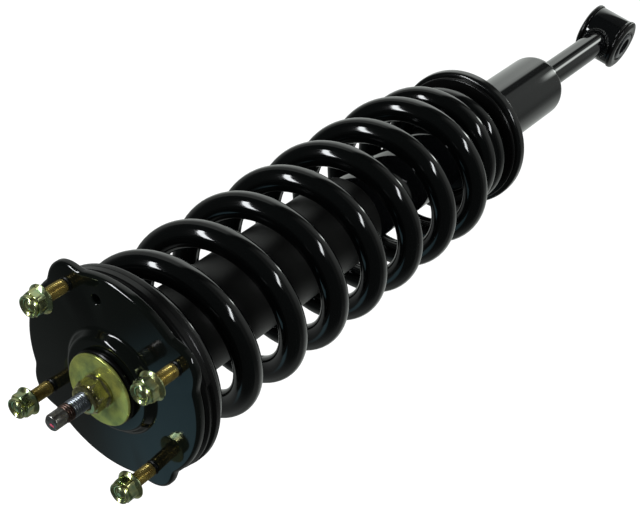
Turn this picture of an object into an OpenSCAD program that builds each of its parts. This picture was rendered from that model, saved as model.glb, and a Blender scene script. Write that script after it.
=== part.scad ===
// Coil-over strut assembly: a twin-tube damper with a coil spring round it,
// a rubber-bushed eye at the bottom and a four-stud mount plate at the top.
// Millimetres. The origin is the centre of the lower eye, +Z runs up along the
// damper's axis, and the lower eye's bolt runs along Y.

/* [Lower eye] */
// Bore of the steel sleeve that takes the lower bolt
eye_bore_d = 14.2; // [12:0.1:16]
// Outside diameter of the steel sleeve
sleeve_d = 22.4; // [20:0.1:25]
// Length of the steel sleeve along the bolt
sleeve_len = 37; // [36:0.5:44]
// Outside diameter of the steel eye ring
ring_d = 40.4; // [38:0.2:46]
// Wall of the steel eye ring
ring_wall = 3.4; // [2.4:0.1:4]
// Width of the steel eye ring along the bolt
ring_w = 26.8; // [20:0.2:28]
// Outside diameter of the rubber bush's flanges
bush_flange_d = 42; // [39:0.2:48]
// Thickness of each rubber flange
bush_flange_t = 4.4; // [3:0.1:5]

/* [Stem] */
// Diameter of the stem between the eye and the damper tube
stem_d = 20.2; // [16:0.2:24]
// Height of the damper tube's closed end above the eye's centre
stem_len = 121.4; // [90:0.2:150]
// Leg of the weld fillet between stem and tube
weld_leg = 3; // [1:0.5:4]

/* [Damper tube] */
// Outside diameter of the damper tube
tube_d = 47.6; // [44:0.2:50]
// Wall of the damper tube
tube_wall = 2.4; // [1.6:0.1:3]
// Length of the damper tube
tube_len = 284; // [270:1:300]
// Radius of the closed end's shoulder
shoulder_r = 9; // [6:0.5:10]
// Thickness of the striker cap's sheet
cap_t = 1.5; // [1:0.1:2]
// Depth of the striker cap over the tube
cap_depth = 9; // [6:0.5:12]

/* [Lower spring seat] */
// Height of the seat's flat above the damper tube's closed end
seat_rise = 121.5; // [110:0.5:135]
// Outside diameter of the seat
seat_d = 99.4; // [96:0.2:110]
// Sheet thickness of the seat
seat_t = 2.6; // [2:0.1:3.5]
// Height of the seat's turned-down lip
seat_lip = 7; // [4:0.5:9]
// Height of the collar that grips the tube
seat_collar = 12; // [8:0.5:16]
// Thickness of the rubber pad under the spring
pad_t = 3; // [2:0.5:5]
// Outside diameter of the rubber pad
pad_d = 93; // [90:0.5:95]

/* [Coil spring] */
// Outside diameter of the spring
spring_d = 113; // [110:0.5:115]
// Diameter of the spring wire
wire_d = 16.3; // [14:0.1:17]
// Rise of one full turn in the middle of the spring
main_pitch = 40.3; // [38:0.1:42]
// Rise of one turn where the small lower end turns close up
closed_pitch = 14; // [13:0.5:16]
// Rise of one turn where the wire ends at the top
end_pitch = 2; // [0:0.5:6]
// Turns between the closed lower end and the flattened top turn
open_turns = 5.9; // [5:0.1:6.5]
// Mean diameter of the small turn on the lower seat
pigtail_d = 72.6; // [70:0.5:76]
// Compass angle of the wire's lower end
wire_end_angle = 242.7; // [0:0.1:360]

/* [Piston and rod] */
// Diameter of the piston rod
rod_d = 13; // [12:0.1:14]
// Thread diameter at both ends of the rod
thread_d = 10; // [9:0.5:11]
// Inside diameter of the pressure tube
bore_d = 30; // [28:0.5:32]
// Wall of the pressure tube
pressure_wall = 1.5; // [1:0.1:2]
// Height of the piston
piston_h = 12; // [10:0.5:16]
// Height of the piston's sealing band
band_h = 7; // [5:0.5:8]
// Length of the rebound stop on the rod
rebound_len = 25; // [15:1:40]
// Thickness of the rod guide
guide_h = 12; // [10:0.5:16]
// Thickness of the oil seal
seal_h = 5; // [4:0.5:7]
// Height of the base valve's body
valve_h = 9; // [7:0.5:12]
// Height of the hexagon nut under the piston
piston_nut_h = 8; // [6:0.5:10]

/* [Bump stop and dust boot] */
// Length of the bump stop below the lower washer
bump_len = 66; // [50:1:70]
// Outside diameter of the bump stop's waves
bump_d = 38; // [32:0.5:40]
// Outside diameter of the dust boot
boot_d = 56.4; // [54:0.2:57]
// Wall of the dust boot
boot_wall = 1.5; // [1:0.1:2]
// Length of the dust boot
boot_len = 201; // [190:1:210]

/* [Top mount] */
// Thickness of the mount plate
plate_t = 3.2; // [2.5:0.1:4]
// Diameter of the plate between its lobes
plate_d = 122.8; // [120:0.2:126]
// Reach of each lobe beyond the plate's round edge
lobe_reach = 6; // [4:0.5:9]
// Radius of each lobe
lobe_r = 13.8; // [12:0.2:16]
// Depth of the plate's turned-down edge below its top
skirt_h = 4.8; // [4:0.1:5]
// Diameter of the raised centre boss at its foot
boss_d = 63.6; // [60:0.2:68]
// Height of the raised centre boss
boss_h = 5; // [4:0.5:7]
// Diameter of the boss's flat top
boss_top_d = 52; // [49:0.5:55]
// Hole through the boss
boss_hole_d = 26; // [24:0.5:28]
// Small drain hole in the plate
drain_d = 5.6; // [4:0.2:7]

/* [Studs and nuts] */
// Stud spacing across the lower eye's bolt
stud_x = 78.2; // [76:0.2:84]
// Stud spacing along the lower eye's bolt
stud_y = 76.8; // [74:0.2:80]
// Offset of the studs and the plate's edge from the rod, across the bolt
offset_x = 0.9; // [-2:0.1:2]
// Offset of the studs and the plate's edge from the rod, along the bolt
offset_y = 1.9; // [-2.5:0.1:2.5]
// Diameter of the studs
stud_d = 8; // [7:0.1:8.5]
// Height of the flange nut's face above the plate
nut_stand = 16.3; // [6:0.1:22]
// Height of the flange nut
nut_h = 10; // [8:0.5:12]
// Width across the flange nut's flats
nut_flats = 13; // [12:0.5:14]
// Diameter of the nut's flange
nut_flange_d = 17; // [16:0.2:20]
// Thickness of the nut's flange
nut_flange_t = 1.3; // [1:0.1:2]
// Diameter of the nut's round crown
nut_crown_d = 12.4; // [11:0.2:12.8]
// Height of the nut's round crown
nut_crown_h = 2.4; // [1:0.1:3]
// Depth of the recess in the nut's crown
nut_recess = 1.2; // [0.5:0.1:2]

/* [Cushions and rod nut] */
// Thickness of the rubber cushion on the boss
cushion_t = 3; // [2.8:0.1:8]
// Diameter of the upper rubber cushion
cushion_d = 44; // [40:0.5:46]
// Thickness of the rubber cushion under the boss
low_cushion_t = 7.5; // [6:0.5:9]
// Diameter of the upper washer
washer_d = 43; // [38:0.2:46]
// Sheet thickness of the washers
washer_t = 1.6; // [1.5:0.1:3]
// Height that the upper washer's rim is dished up
washer_dish = 0.4; // [0:0.1:1.5]
// Diameter of the spacer between the washers
spacer_d = 16; // [14:0.5:18]
// Width across the rod nut's flats
rod_nut_flats = 17; // [15:0.5:18]
// Height of the rod nut
rod_nut_h = 11.5; // [10:0.5:14]
// Diameter of the round foot under the rod nut's hexagon
rod_nut_foot_d = 20; // [19:0.2:23]
// Thickness of that foot
rod_nut_foot_t = 2; // [1:0.1:3]
// Diameter of the rod nut's round crown
rod_nut_crown_d = 15.6; // [14:0.2:16]
// Height of the rod nut's round crown
rod_nut_crown_h = 2.2; // [1:0.1:3]
// Length of the rod above its nut
rod_tail = 22.7; // [15:0.1:25]
// Length of the rod's tip with its two flats
rod_tip_len = 8.6; // [6:0.2:12]
// Depth of each flat on the tip
tip_flat = 0.9; // [0.5:0.1:1.5]

/* [Upper spring seat] */
// How far the rubber insulator's rim stands inside the plate's edge
rim_inset = 0.5; // [0:0.1:1.5]
// Depth of the rim below the face that the spring bears on
rim_drop = 8; // [6:0.5:10]
// Thickness of the insulator over the spring
insulator_t = 2.5; // [2:0.1:4]
// Sheet thickness of the upper spring seat
upper_seat_t = 1.2; // [1:0.1:2]
// Thickness of the stud heads
head_t = 1.6; // [1.2:0.1:2.5]
// Diameter of the stud heads
head_d = 12.6; // [11:0.2:14]

/* [Hidden] */

// Radial clearance of a shaft or pin that turns or slides in its bore
run_gap = 0.05;
// Clearance between pieces that are pressed or bonded together
fit_gap = 0.02;
// Clearance between pieces that move past each other without guiding
free_gap = 0.3;
// Clearance between the spring wire and what it rests on
wire_gap = 0.2;
$fn = 96;

// Finishes
gloss_black = "#17181a";
satin_black = "#26272a";
rubber_black = "#1c1c1c";
bare_steel = "#8d8f92";
yellow_zinc = "#b9a35c";

// Damper heights
tube_bottom = stem_len;
tube_top = tube_bottom + tube_len;
tube_inner_r = tube_d / 2 - tube_wall;
cap_top = tube_top + cap_t;
seal_top = tube_top - 3;
seal_bottom = seal_top - seal_h;
guide_top = seal_bottom;
guide_bottom = guide_top - guide_h;
guide_face = guide_bottom - 5;
pressure_r = bore_d / 2 + pressure_wall;
pressure_top = guide_bottom;
valve_foot = 5;
valve_bottom = tube_bottom + tube_wall;
valve_top = valve_bottom + valve_foot + valve_h;
valve_spigot = 6;

// Spring: wire centre heights and radii along its turns
wire_r = wire_d / 2;
seat_top = tube_bottom + seat_rise;
pad_top = seat_top + pad_t;
wire_bottom = pad_top + wire_gap + wire_r;
mean_r = spring_d / 2 - wire_r;
pigtail_r = pigtail_d / 2;
// Turn counts at which the lower end opens out, and at which the top flattens
rise_from = 0.35;
rise_to = 2.6;
grow_from = 0.9;
grow_to = 1.8;
flatten_from = rise_to + open_turns;
last_turn = flatten_from + 1;
spring_top = wire_z(last_turn) + wire_r;

// Mount heights
insulator_face = spring_top + wire_gap;
upper_seat_low = insulator_face + insulator_t;
plate_low = upper_seat_low + upper_seat_t + head_t;
plate_top = plate_low + plate_t;
boss_top = plate_top + boss_h;
boss_low = boss_top - plate_t;
cushion_top = boss_top + cushion_t;
washer_low = cushion_top + free_gap;
low_cushion_bottom = boss_low - low_cushion_t;
lower_washer_top = low_cushion_bottom - free_gap;
rod_shoulder = lower_washer_top - washer_t;
rod_nut_low = washer_low + washer_t;
rod_nut_top = rod_nut_low + rod_nut_h;
rod_tip = rod_nut_top + rod_tail;
nut_low = plate_top + nut_stand;
nut_top = nut_low + nut_h;
shank_r = stud_d / 2 + 0.4;
mount_offset = norm([offset_x, offset_y]);
rim_d = plate_d - 2 * rim_inset;

// Piston heights
piston_top = guide_face - free_gap - rebound_len;
piston_low = piston_top - piston_h;
piston_nut_low = piston_low - piston_nut_h;

// Boot and bump stop heights
bump_top = rod_shoulder;
bump_flange_t = 4;
boot_neck_d = 25;
boot_top = bump_top - bump_flange_t - fit_gap;
boot_bottom = boot_top - boot_len;

// Smooth rise from 0 to 1, and its running total
function ramp(x) = x <= 0 ? 0 : x >= 1 ? 1 : x * x * (3 - 2 * x);
function ramp_total(x) = x <= 0 ? 0 : x >= 1 ? x - 0.5 : pow(x, 3) - pow(x, 4) / 2;

// Height and radius of the wire's centre after t turns from its lower end
function wire_z(t) =
    wire_bottom + closed_pitch * t
    + (main_pitch - closed_pitch) * (rise_to - rise_from)
        * ramp_total((t - rise_from) / (rise_to - rise_from))
    - (main_pitch - end_pitch) * ramp_total(t - flatten_from);
function wire_radius(t) =
    pigtail_r + (mean_r - pigtail_r) * ramp((t - grow_from) / (grow_to - grow_from));
function wire_point(t) = [
    wire_radius(t) * cos(wire_end_angle + 360 * t),
    wire_radius(t) * sin(wire_end_angle + 360 * t),
    wire_z(t)
];

// Points on an arc, for rounded corners in a profile
function arc(x, z, r, from, to, steps = 8) = [
    for (i = [0:steps])
        let (a = from + (to - from) * i / steps)
            [x + r * cos(a), z + r * sin(a)]
];
function unit(v) = v / norm(v);

// A body of revolution about Z from a closed profile of [radius, height] points
module turned(profile) {
    rotate_extrude() polygon(profile);
}

// A plain ring
module ring(outer_r, inner_r, low, high) {
    turned([[inner_r, low], [outer_r, low], [outer_r, high], [inner_r, high]]);
}

// A body of revolution about the lower eye's bolt
module turned_on_bolt(profile) {
    rotate([-90, 0, 0]) turned(profile);
}

// A hexagon with chamfered corners, from low to high
module hexagon(flats, low, high, chamfer) {
    corner_r = flats / sqrt(3);
    intersection() {
        translate([0, 0, low]) cylinder(h = high - low, r = corner_r, $fn = 6);
        turned([
            [0, low], [corner_r, low], [corner_r, high - chamfer],
            [corner_r - chamfer * 1.7, high], [0, high]
        ]);
    }
}

// Shifts its children to the middle of the stud pattern
module at_mount() {
    translate([offset_x, offset_y, 0]) children();
}

// Puts a copy of its children on each stud's axis
module at_studs() {
    for (sx = [-1, 1], sy = [-1, 1])
        at_mount()
            translate([sx * stud_x / 2, sy * stud_y / 2, 0]) children();
}

// A round wire swept along the spring's turns, closed at both ends
module swept_wire(rings_per_turn, sides) {
    count = ceil(last_turn * rings_per_turn);
    frames = [
        for (i = [0:count])
            let (
                t = last_turn * i / count,
                step = 0.002,
                ahead = unit(wire_point(t + step) - wire_point(t - step)),
                out = unit([wire_point(t)[0], wire_point(t)[1], 0]),
                side = unit(out - ahead * (out * ahead)),
                up = cross(ahead, side)
            )
            [wire_point(t), side, up]
    ];
    points = [
        for (f = frames, j = [0:sides - 1])
            f[0] + wire_r * (f[1] * cos(360 * j / sides) + f[2] * sin(360 * j / sides))
    ];
    faces = concat(
        [[for (j = [0:sides - 1]) j]],
        [
            for (i = [0:count - 1], j = [0:sides - 1])
                [
                    i * sides + j, (i + 1) * sides + j,
                    (i + 1) * sides + (j + 1) % sides, i * sides + (j + 1) % sides
                ]
        ],
        [[for (j = [sides - 1:-1:0]) count * sides + j]]
    );
    polyhedron(points = points, faces = faces, convexity = 12);
}

// ---- Lower eye ----

// Steel sleeve that the lower bolt clamps; it twists in the rubber
module eye_sleeve() {
    half = sleeve_len / 2;
    bore_r = eye_bore_d / 2;
    outer_r = sleeve_d / 2;
    edge = 0.8;
    color(bare_steel)
        turned_on_bolt([
            [bore_r, -half], [outer_r - edge, -half], [outer_r, -half + edge],
            [outer_r, half - edge], [outer_r - edge, half], [bore_r, half]
        ]);
}

// Rubber bush with a rounded flange on each side of the ring
module eye_bushing() {
    inner_r = sleeve_d / 2 + run_gap;
    body_r = ring_d / 2 - ring_wall - fit_gap;
    flange_r = bush_flange_d / 2;
    seat = ring_w / 2 + fit_gap;
    face = seat + bush_flange_t;
    round_r = bush_flange_t / 2;
    groove = 1.2;
    color(rubber_black)
        turned_on_bolt(concat(
            [[inner_r, -face + groove], [inner_r + 2 * groove, -face]],
            arc(flange_r - round_r, -face + round_r, round_r, -90, 0, 5),
            arc(flange_r - round_r, -seat - round_r, round_r, 0, 90, 5),
            [[body_r, -seat], [body_r, seat]],
            arc(flange_r - round_r, seat + round_r, round_r, -90, 0, 5),
            arc(flange_r - round_r, face - round_r, round_r, 0, 90, 5),
            [[inner_r + 2 * groove, face], [inner_r, face - groove]]
        ));
}

// Steel ring welded across the stem
module eye_ring() {
    half = ring_w / 2;
    outer_r = ring_d / 2;
    inner_r = outer_r - ring_wall;
    edge = 0.6;
    color(gloss_black)
        turned_on_bolt([
            [inner_r, -half], [outer_r - edge, -half], [outer_r, -half + edge],
            [outer_r, half - edge], [outer_r - edge, half], [inner_r, half]
        ]);
}

// Stem with its foot cut to the ring and a weld fillet under the tube
module lower_stem() {
    stem_r = stem_d / 2;
    foot = ring_d / 2 + fit_gap;
    fillet_from = tube_bottom - fit_gap - weld_leg;
    color(gloss_black)
        difference() {
            union() {
                cylinder(h = tube_bottom - fit_gap, r = stem_r);
                turned(concat(
                    [[0, fillet_from], [stem_r, fillet_from]],
                    arc(stem_r + weld_leg, fillet_from, weld_leg, 180, 90, 6),
                    [[0, tube_bottom - fit_gap]]
                ));
            }
            rotate([90, 0, 0]) cylinder(h = 2 * ring_w, r = foot, center = true);
        }
}

// ---- Damper ----

// Reservoir tube, spun closed at the bottom with a round shoulder
module damper_tube() {
    outer_r = tube_d / 2;
    inner_shoulder = shoulder_r - tube_wall;
    color(gloss_black)
        turned(concat(
            [[0, tube_bottom]],
            arc(outer_r - shoulder_r, tube_bottom + shoulder_r, shoulder_r, -90, 0, 10),
            [[outer_r, tube_top], [tube_inner_r, tube_top]],
            arc(outer_r - shoulder_r, tube_bottom + shoulder_r, inner_shoulder, 0, -90, 8),
            [[0, valve_bottom]]
        ));
}

// Pressed dish that carries the spring, with a collar on the tube
module lower_spring_seat() {
    hole_r = tube_d / 2 + fit_gap;
    collar_r = hole_r + seat_t;
    outer_r = seat_d / 2;
    bend = 3;
    low = seat_top - seat_t;
    collar_bottom = low - seat_collar;
    lip_bottom = seat_top - seat_lip;
    color(satin_black)
        turned(concat(
            [[hole_r, collar_bottom], [collar_r, collar_bottom]],
            arc(collar_r + bend, low - bend, bend, 180, 90, 5),
            arc(outer_r - seat_t - 0.5, low - 0.5, 0.5, 90, 0, 2),
            [[outer_r - seat_t, lip_bottom]],
            [[outer_r, lip_bottom]],
            arc(outer_r - bend, seat_top - bend, bend, 0, 90, 6),
            [[hole_r, seat_top]]
        ));
}

// Rubber pad between the spring's lower end and the seat
module lower_spring_pad() {
    outer_r = pad_d / 2;
    inner_r = tube_d / 2 + 3;
    color(rubber_black)
        turned([
            [inner_r, seat_top + fit_gap], [outer_r, seat_top + fit_gap],
            [outer_r, pad_top - 1], [outer_r - 1, pad_top], [inner_r, pad_top]
        ]);
}

// Right-hand spring with a small closed lower end and a flattened top turn
module coil_spring() {
    color(gloss_black) swept_wire(rings_per_turn = 36, sides = 14);
}

// Foot valve that closes the pressure tube's lower end
module base_valve() {
    foot_r = 12;
    body_r = pressure_r;
    spigot_r = bore_d / 2 - fit_gap;
    low = valve_bottom + fit_gap;
    color(bare_steel)
        difference() {
            turned([
                [0, low], [foot_r, low], [foot_r, low + valve_foot],
                [body_r, low + valve_foot], [body_r, valve_top],
                [spigot_r, valve_top], [spigot_r, valve_top + valve_spigot],
                [0, valve_top + valve_spigot]
            ]);
            for (a = [0:60:300])
                rotate([0, 0, a])
                    translate([bore_d / 2 - 5, 0, low + valve_foot / 2])
                        cylinder(h = 2 * valve_h + valve_spigot, d = 2.5, $fn = 24);
        }
}

// Pressure tube that the piston runs in
module pressure_tube() {
    color(bare_steel)
        ring(pressure_r, bore_d / 2, valve_top + fit_gap, pressure_top - fit_gap);
}

// Rod guide: centres the rod and closes the pressure tube's top
module rod_guide() {
    inner_r = rod_d / 2 + run_gap;
    outer_r = tube_inner_r - fit_gap;
    spigot_r = bore_d / 2 - fit_gap;
    color(bare_steel)
        turned([
            [inner_r, guide_face], [spigot_r, guide_face],
            [spigot_r, guide_bottom], [outer_r, guide_bottom],
            [outer_r, guide_top], [inner_r, guide_top]
        ]);
}

// Oil seal above the guide
module oil_seal() {
    color(rubber_black)
        ring(tube_inner_r - fit_gap, rod_d / 2 + run_gap,
             seal_bottom + fit_gap, seal_top);
}

// Cap over the tube's top that the bump stop strikes
module striker_cap() {
    inner_r = tube_d / 2 + fit_gap;
    outer_r = inner_r + cap_t;
    rod_hole_r = rod_d / 2 + 1;
    color(satin_black)
        turned([
            [rod_hole_r, tube_top + fit_gap], [inner_r, tube_top + fit_gap],
            [inner_r, tube_top - cap_depth], [outer_r, tube_top - cap_depth],
            [outer_r, cap_top - cap_t / 2], [outer_r - cap_t / 2, cap_top],
            [rod_hole_r, cap_top]
        ]);
}

// Piston with a groove for its band and six oil ports
module piston() {
    piston_r = bore_d / 2 - 0.4;
    groove_r = piston_r - 1.2;
    groove_low = piston_low + (piston_h - band_h) / 2;
    groove_high = groove_low + band_h;
    hole_r = thread_d / 2 + fit_gap;
    color(bare_steel)
        difference() {
            turned([
                [hole_r, piston_low], [piston_r, piston_low], [piston_r, groove_low],
                [groove_r, groove_low], [groove_r, groove_high],
                [piston_r, groove_high], [piston_r, piston_top], [hole_r, piston_top]
            ]);
            for (a = [0:60:300])
                rotate([0, 0, a])
                    translate([bore_d / 2 - 4.5, 0, piston_low - 1])
                        cylinder(h = piston_h + 2, d = 2.5, $fn = 24);
        }
}

// Low-friction band in the piston's groove
module piston_band() {
    groove_r = bore_d / 2 - 1.6;
    groove_low = piston_low + (piston_h - band_h) / 2;
    color(rubber_black)
        ring(bore_d / 2 - run_gap, groove_r + fit_gap,
             groove_low + fit_gap, groove_low + band_h - fit_gap);
}

// Nut that holds the piston on the rod
module piston_nut() {
    color(bare_steel)
        difference() {
            hexagon(thread_d * 1.6, piston_nut_low, piston_low - fit_gap, 1);
            translate([0, 0, piston_nut_low - 1])
                cylinder(h = piston_nut_h + 2, r = thread_d / 2 + fit_gap);
        }
}

// Stop that meets the rod guide when the strut is fully extended
module rebound_stop() {
    color(rubber_black)
        ring(bore_d / 2 - 3.5, rod_d / 2 + fit_gap,
             piston_top + fit_gap, piston_top + rebound_len);
}

// Polished rod with a threaded end through the piston and one through the mount
module piston_rod() {
    rod_r = rod_d / 2;
    thread_r = thread_d / 2;
    tip_r = thread_r - 0.3;
    tip_low = rod_tip - rod_tip_len;
    color(bare_steel)
        difference() {
            turned([
                [0, piston_nut_low - 2], [thread_r - 1, piston_nut_low - 2],
                [thread_r, piston_nut_low - 1], [thread_r, piston_top],
                [rod_r, piston_top], [rod_r, rod_shoulder],
                [thread_r, rod_shoulder], [thread_r, tip_low - 1],
                [tip_r, tip_low], [tip_r, rod_tip - 1],
                [tip_r - 1, rod_tip], [0, rod_tip]
            ]);
            for (side = [-1, 1])
                translate([-thread_d, side * (tip_r - tip_flat + thread_d / 2) - thread_d / 2,
                           tip_low])
                    cube([2 * thread_d, thread_d, rod_tip_len + 1]);
        }
}

// ---- Bump stop and boot ----

// Cellular bump stop with a flange that the boot hooks under
module bump_stop() {
    inner_r = rod_d / 2 + 0.2;
    outer_r = bump_d / 2;
    waist_r = outer_r - 4;
    neck_r = boot_neck_d / 2 - fit_gap;
    flange_low = bump_top - bump_flange_t;
    neck_low = flange_low - boot_wall - 3 * fit_gap;
    body_top = neck_low - 1.5;
    low = bump_top - bump_len;
    wave = (body_top - low) / 3.5;
    color(rubber_black)
        turned(concat(
            [[inner_r, low], [outer_r - 8, low]],
            [for (i = [0:6])
                [i % 2 == 0 ? outer_r - (6 - i) * 0.5 : waist_r - (6 - i) * 0.3,
                 low + wave * (i + 0.5) / 2]],
            [[outer_r, body_top], [neck_r, neck_low], [neck_r, flange_low],
             [outer_r, flange_low], [outer_r, bump_top - fit_gap],
             [inner_r, bump_top - fit_gap]]
        ));
}

// Plain tubular dust boot, open at the bottom, hooked on the bump stop
module dust_boot() {
    outer_r = boot_d / 2;
    inner_r = outer_r - boot_wall;
    neck_r = boot_neck_d / 2;
    round_r = 6;
    color(rubber_black)
        turned(concat(
            [[neck_r, boot_top - boot_wall]],
            arc(outer_r - round_r, boot_top - round_r, round_r - boot_wall, 90, 0, 5),
            [[inner_r, boot_bottom], [outer_r, boot_bottom]],
            arc(outer_r - round_r, boot_top - round_r, round_r, 0, 90, 7),
            [[neck_r, boot_top]]
        ));
}

// ---- Rod fastening ----

// Washer under the lower cushion, resting on the rod's shoulder
module lower_washer() {
    color(satin_black)
        ring(cushion_d / 2 - 3, thread_d / 2 + fit_gap,
             rod_shoulder + fit_gap, lower_washer_top);
}

// Spacer that sets how far the nut squeezes the cushions
module spacer_sleeve() {
    color(bare_steel)
        ring(spacer_d / 2, thread_d / 2 + fit_gap,
             lower_washer_top + fit_gap, washer_low - fit_gap);
}

// Dished washer on the upper cushion
module upper_washer() {
    outer_r = washer_d / 2;
    hole_r = thread_d / 2 + fit_gap;
    flat_r = rod_nut_foot_d / 2 + 1;
    high = washer_low + washer_t;
    edge = washer_t / 4;
    color(yellow_zinc)
        turned([
            [hole_r, washer_low], [flat_r, washer_low],
            [outer_r - edge, washer_low + washer_dish],
            [outer_r, washer_low + washer_dish + edge],
            [outer_r - edge, high + washer_dish], [flat_r, high], [hole_r, high]
        ]);
}

// Hexagon nut on a round foot, with a round crown
module rod_nut() {
    foot_r = rod_nut_foot_d / 2;
    crown_r = rod_nut_crown_d / 2;
    low = rod_nut_low + fit_gap;
    foot_top = low + rod_nut_foot_t;
    crown_low = rod_nut_top - rod_nut_crown_h;
    bevel = 0.8;
    color(yellow_zinc)
        difference() {
            union() {
                hexagon(rod_nut_flats, low, crown_low, bevel);
                turned([
                    [0, low], [foot_r, low], [foot_r, foot_top - bevel],
                    [foot_r - bevel, foot_top], [0, foot_top]
                ]);
                turned([
                    [0, low], [crown_r, low], [crown_r, rod_nut_top - bevel],
                    [crown_r - bevel, rod_nut_top], [0, rod_nut_top]
                ]);
            }
            translate([0, 0, low - 1])
                cylinder(h = rod_nut_h + 2, r = thread_d / 2 + fit_gap);
        }
}

// ---- Top mount ----

// Distance from the axis to the plate's edge at a compass angle
function lobe_edge(turn, centre_r) =
    let (across = centre_r * sin(turn))
        abs(turn) > 60 || abs(across) > lobe_r
            ? 0 : centre_r * cos(turn) + sqrt(lobe_r * lobe_r - across * across);
function away(a, b) = let (d = (a - b + 540) % 360) d - 180;
function edge_r(a) =
    let (
        stud_a = atan2(stud_y, stud_x),
        centre_r = plate_d / 2 + lobe_reach - lobe_r,
        lobe = max([
            for (s = [stud_a, 180 - stud_a, 180 + stud_a, 360 - stud_a])
                lobe_edge(away(a, s), centre_r)
        ]),
        blend = 26
    )
    pow(pow(plate_d / 2, blend) + pow(lobe, blend), 1 / blend);
function plate_outline(inset) = [
    for (a = [0:2:358]) (edge_r(a) - inset) * [cos(a), sin(a)]
];

// Pressed plate with four lobes, a turned-down edge and a raised centre boss
module mount_plate() {
    foot_r = boss_d / 2;
    top_r = boss_top_d / 2;
    hole_r = boss_hole_d / 2;
    edge = 1;
    wall = 2.4;
    slope = foot_r - top_r;
    drain_r = plate_d * 0.4;
    color(gloss_black)
        difference() {
            union() {
                difference() {
                    at_mount() {
                        translate([0, 0, plate_low])
                            linear_extrude(plate_t - edge) polygon(plate_outline(0));
                        translate([0, 0, plate_top - edge])
                            linear_extrude(edge) polygon(plate_outline(edge));
                        translate([0, 0, plate_top - skirt_h])
                            linear_extrude(skirt_h - plate_t)
                                difference() {
                                    polygon(plate_outline(0));
                                    polygon(plate_outline(wall));
                                }
                    }
                    translate([0, 0, plate_low - 1])
                        cylinder(h = plate_t + 2, r = foot_r - 1);
                }
                turned([
                    [hole_r, boss_low], [top_r - 1, boss_low], [foot_r - 2, plate_low],
                    [foot_r, plate_low], [foot_r, plate_top], [top_r + 1, boss_top - 0.8],
                    [top_r - 1, boss_top], [hole_r, boss_top]
                ]);
            }
            at_studs()
                translate([0, 0, plate_low - 2])
                    cylinder(h = plate_t + 4, r = shank_r + fit_gap);
            rotate([0, 0, 23])
                translate([drain_r, 0, plate_low - 2])
                    cylinder(h = plate_t + 4, d = drain_d);
        }
}

// Four studs pressed up through the plate by a thicker shank
module mount_studs() {
    thread_r = stud_d / 2;
    root_r = thread_r - 0.35;
    head_low = plate_low - head_t + fit_gap;
    tip = nut_top - 0.2;
    color(yellow_zinc)
        at_studs()
            turned([
                [0, head_low], [head_d / 2, head_low], [head_d / 2, plate_low - fit_gap],
                [shank_r, plate_low - fit_gap], [shank_r, plate_top],
                [thread_r, plate_top], [thread_r, nut_low - free_gap],
                [root_r, nut_low - free_gap], [root_r, tip - 1.2],
                [root_r - 1.6, tip - 0.3], [0, tip]
            ]);
}

// Flange nuts run part of the way down the studs
module stud_nuts() {
    flange_r = nut_flange_d / 2;
    flange_top = nut_low + nut_flange_t;
    cone_r = nut_flats / 2;
    crown_r = nut_crown_d / 2;
    crown_low = nut_top - nut_crown_h;
    bore_r = stud_d / 2 - 0.35 + run_gap;
    bevel = 0.4;
    color(yellow_zinc)
        at_studs()
            difference() {
                union() {
                    hexagon(nut_flats, nut_low, crown_low, 2 * bevel);
                    turned([
                        [0, nut_low], [flange_r - bevel, nut_low],
                        [flange_r, nut_low + bevel], [flange_r, flange_top],
                        [cone_r + bevel, flange_top + 1], [0, flange_top + 1]
                    ]);
                    turned([
                        [0, nut_low], [crown_r, nut_low], [crown_r, nut_top - bevel],
                        [crown_r - bevel, nut_top], [0, nut_top]
                    ]);
                }
                translate([0, 0, nut_low - 1]) cylinder(h = nut_h + 2, r = bore_r);
                turned([
                    [0, nut_top - nut_recess], [bore_r, nut_top - nut_recess],
                    [crown_r - 2 * bevel, nut_top], [crown_r - 2 * bevel, nut_top + 1],
                    [0, nut_top + 1]
                ]);
            }
}

// Pressed steel ring that backs the insulator, stepped down to clear the stud heads
module upper_spring_seat() {
    inner_r = cushion_d / 2 + 2;
    step_in = norm([stud_x, stud_y]) / 2 - mount_offset - head_d / 2 - 4;
    step_out = step_in + 3;
    outer_r = plate_d / 2 - mount_offset - 2.6;
    high = plate_low - fit_gap;
    low_top = plate_low - head_t;
    color(satin_black)
        turned([
            [inner_r, high - upper_seat_t], [step_in, high - upper_seat_t],
            [step_out, low_top - upper_seat_t], [outer_r, low_top - upper_seat_t],
            [outer_r, low_top], [step_out, low_top], [step_in, high], [inner_r, high]
        ]);
}

// Moulded rubber ring between the seat and the spring, with a ribbed rim
module upper_insulator() {
    inner_r = mean_r - wire_r - 3.2;
    lip_r = mean_r - wire_r - 0.8;
    rim_r = rim_d / 2;
    wall_r = mean_r + wire_r + 0.8;
    high = upper_seat_low - fit_gap;
    face = insulator_face;
    rim_low = face - rim_drop;
    color(rubber_black)
        turned([
            [inner_r, high], [inner_r, face - 4], [lip_r - 0.8, face - 5],
            [lip_r, face - 4], [lip_r, face], [wall_r, face], [wall_r, rim_low + 1],
            [rim_r - 1, rim_low], [rim_r, rim_low + 1.5], [rim_r, face - 3.5],
            [rim_r - 1.8, face - 2.4], [rim_r - 1.8, face - 1.4], [rim_r - 0.8, face - 0.4],
            [rim_r - 0.8, face + 0.8], [rim_r - 2, high]
        ]);
}

// Rubber cushion under the boss
module lower_cushion() {
    inner_r = spacer_d / 2 + free_gap;
    outer_r = cushion_d / 2 - 2;
    high = boss_low - fit_gap;
    color(rubber_black)
        turned([
            [inner_r, low_cushion_bottom], [outer_r - 1, low_cushion_bottom],
            [outer_r, low_cushion_bottom + 1.5], [outer_r, high - 1.5],
            [outer_r - 1, high], [inner_r, high]
        ]);
}

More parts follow.
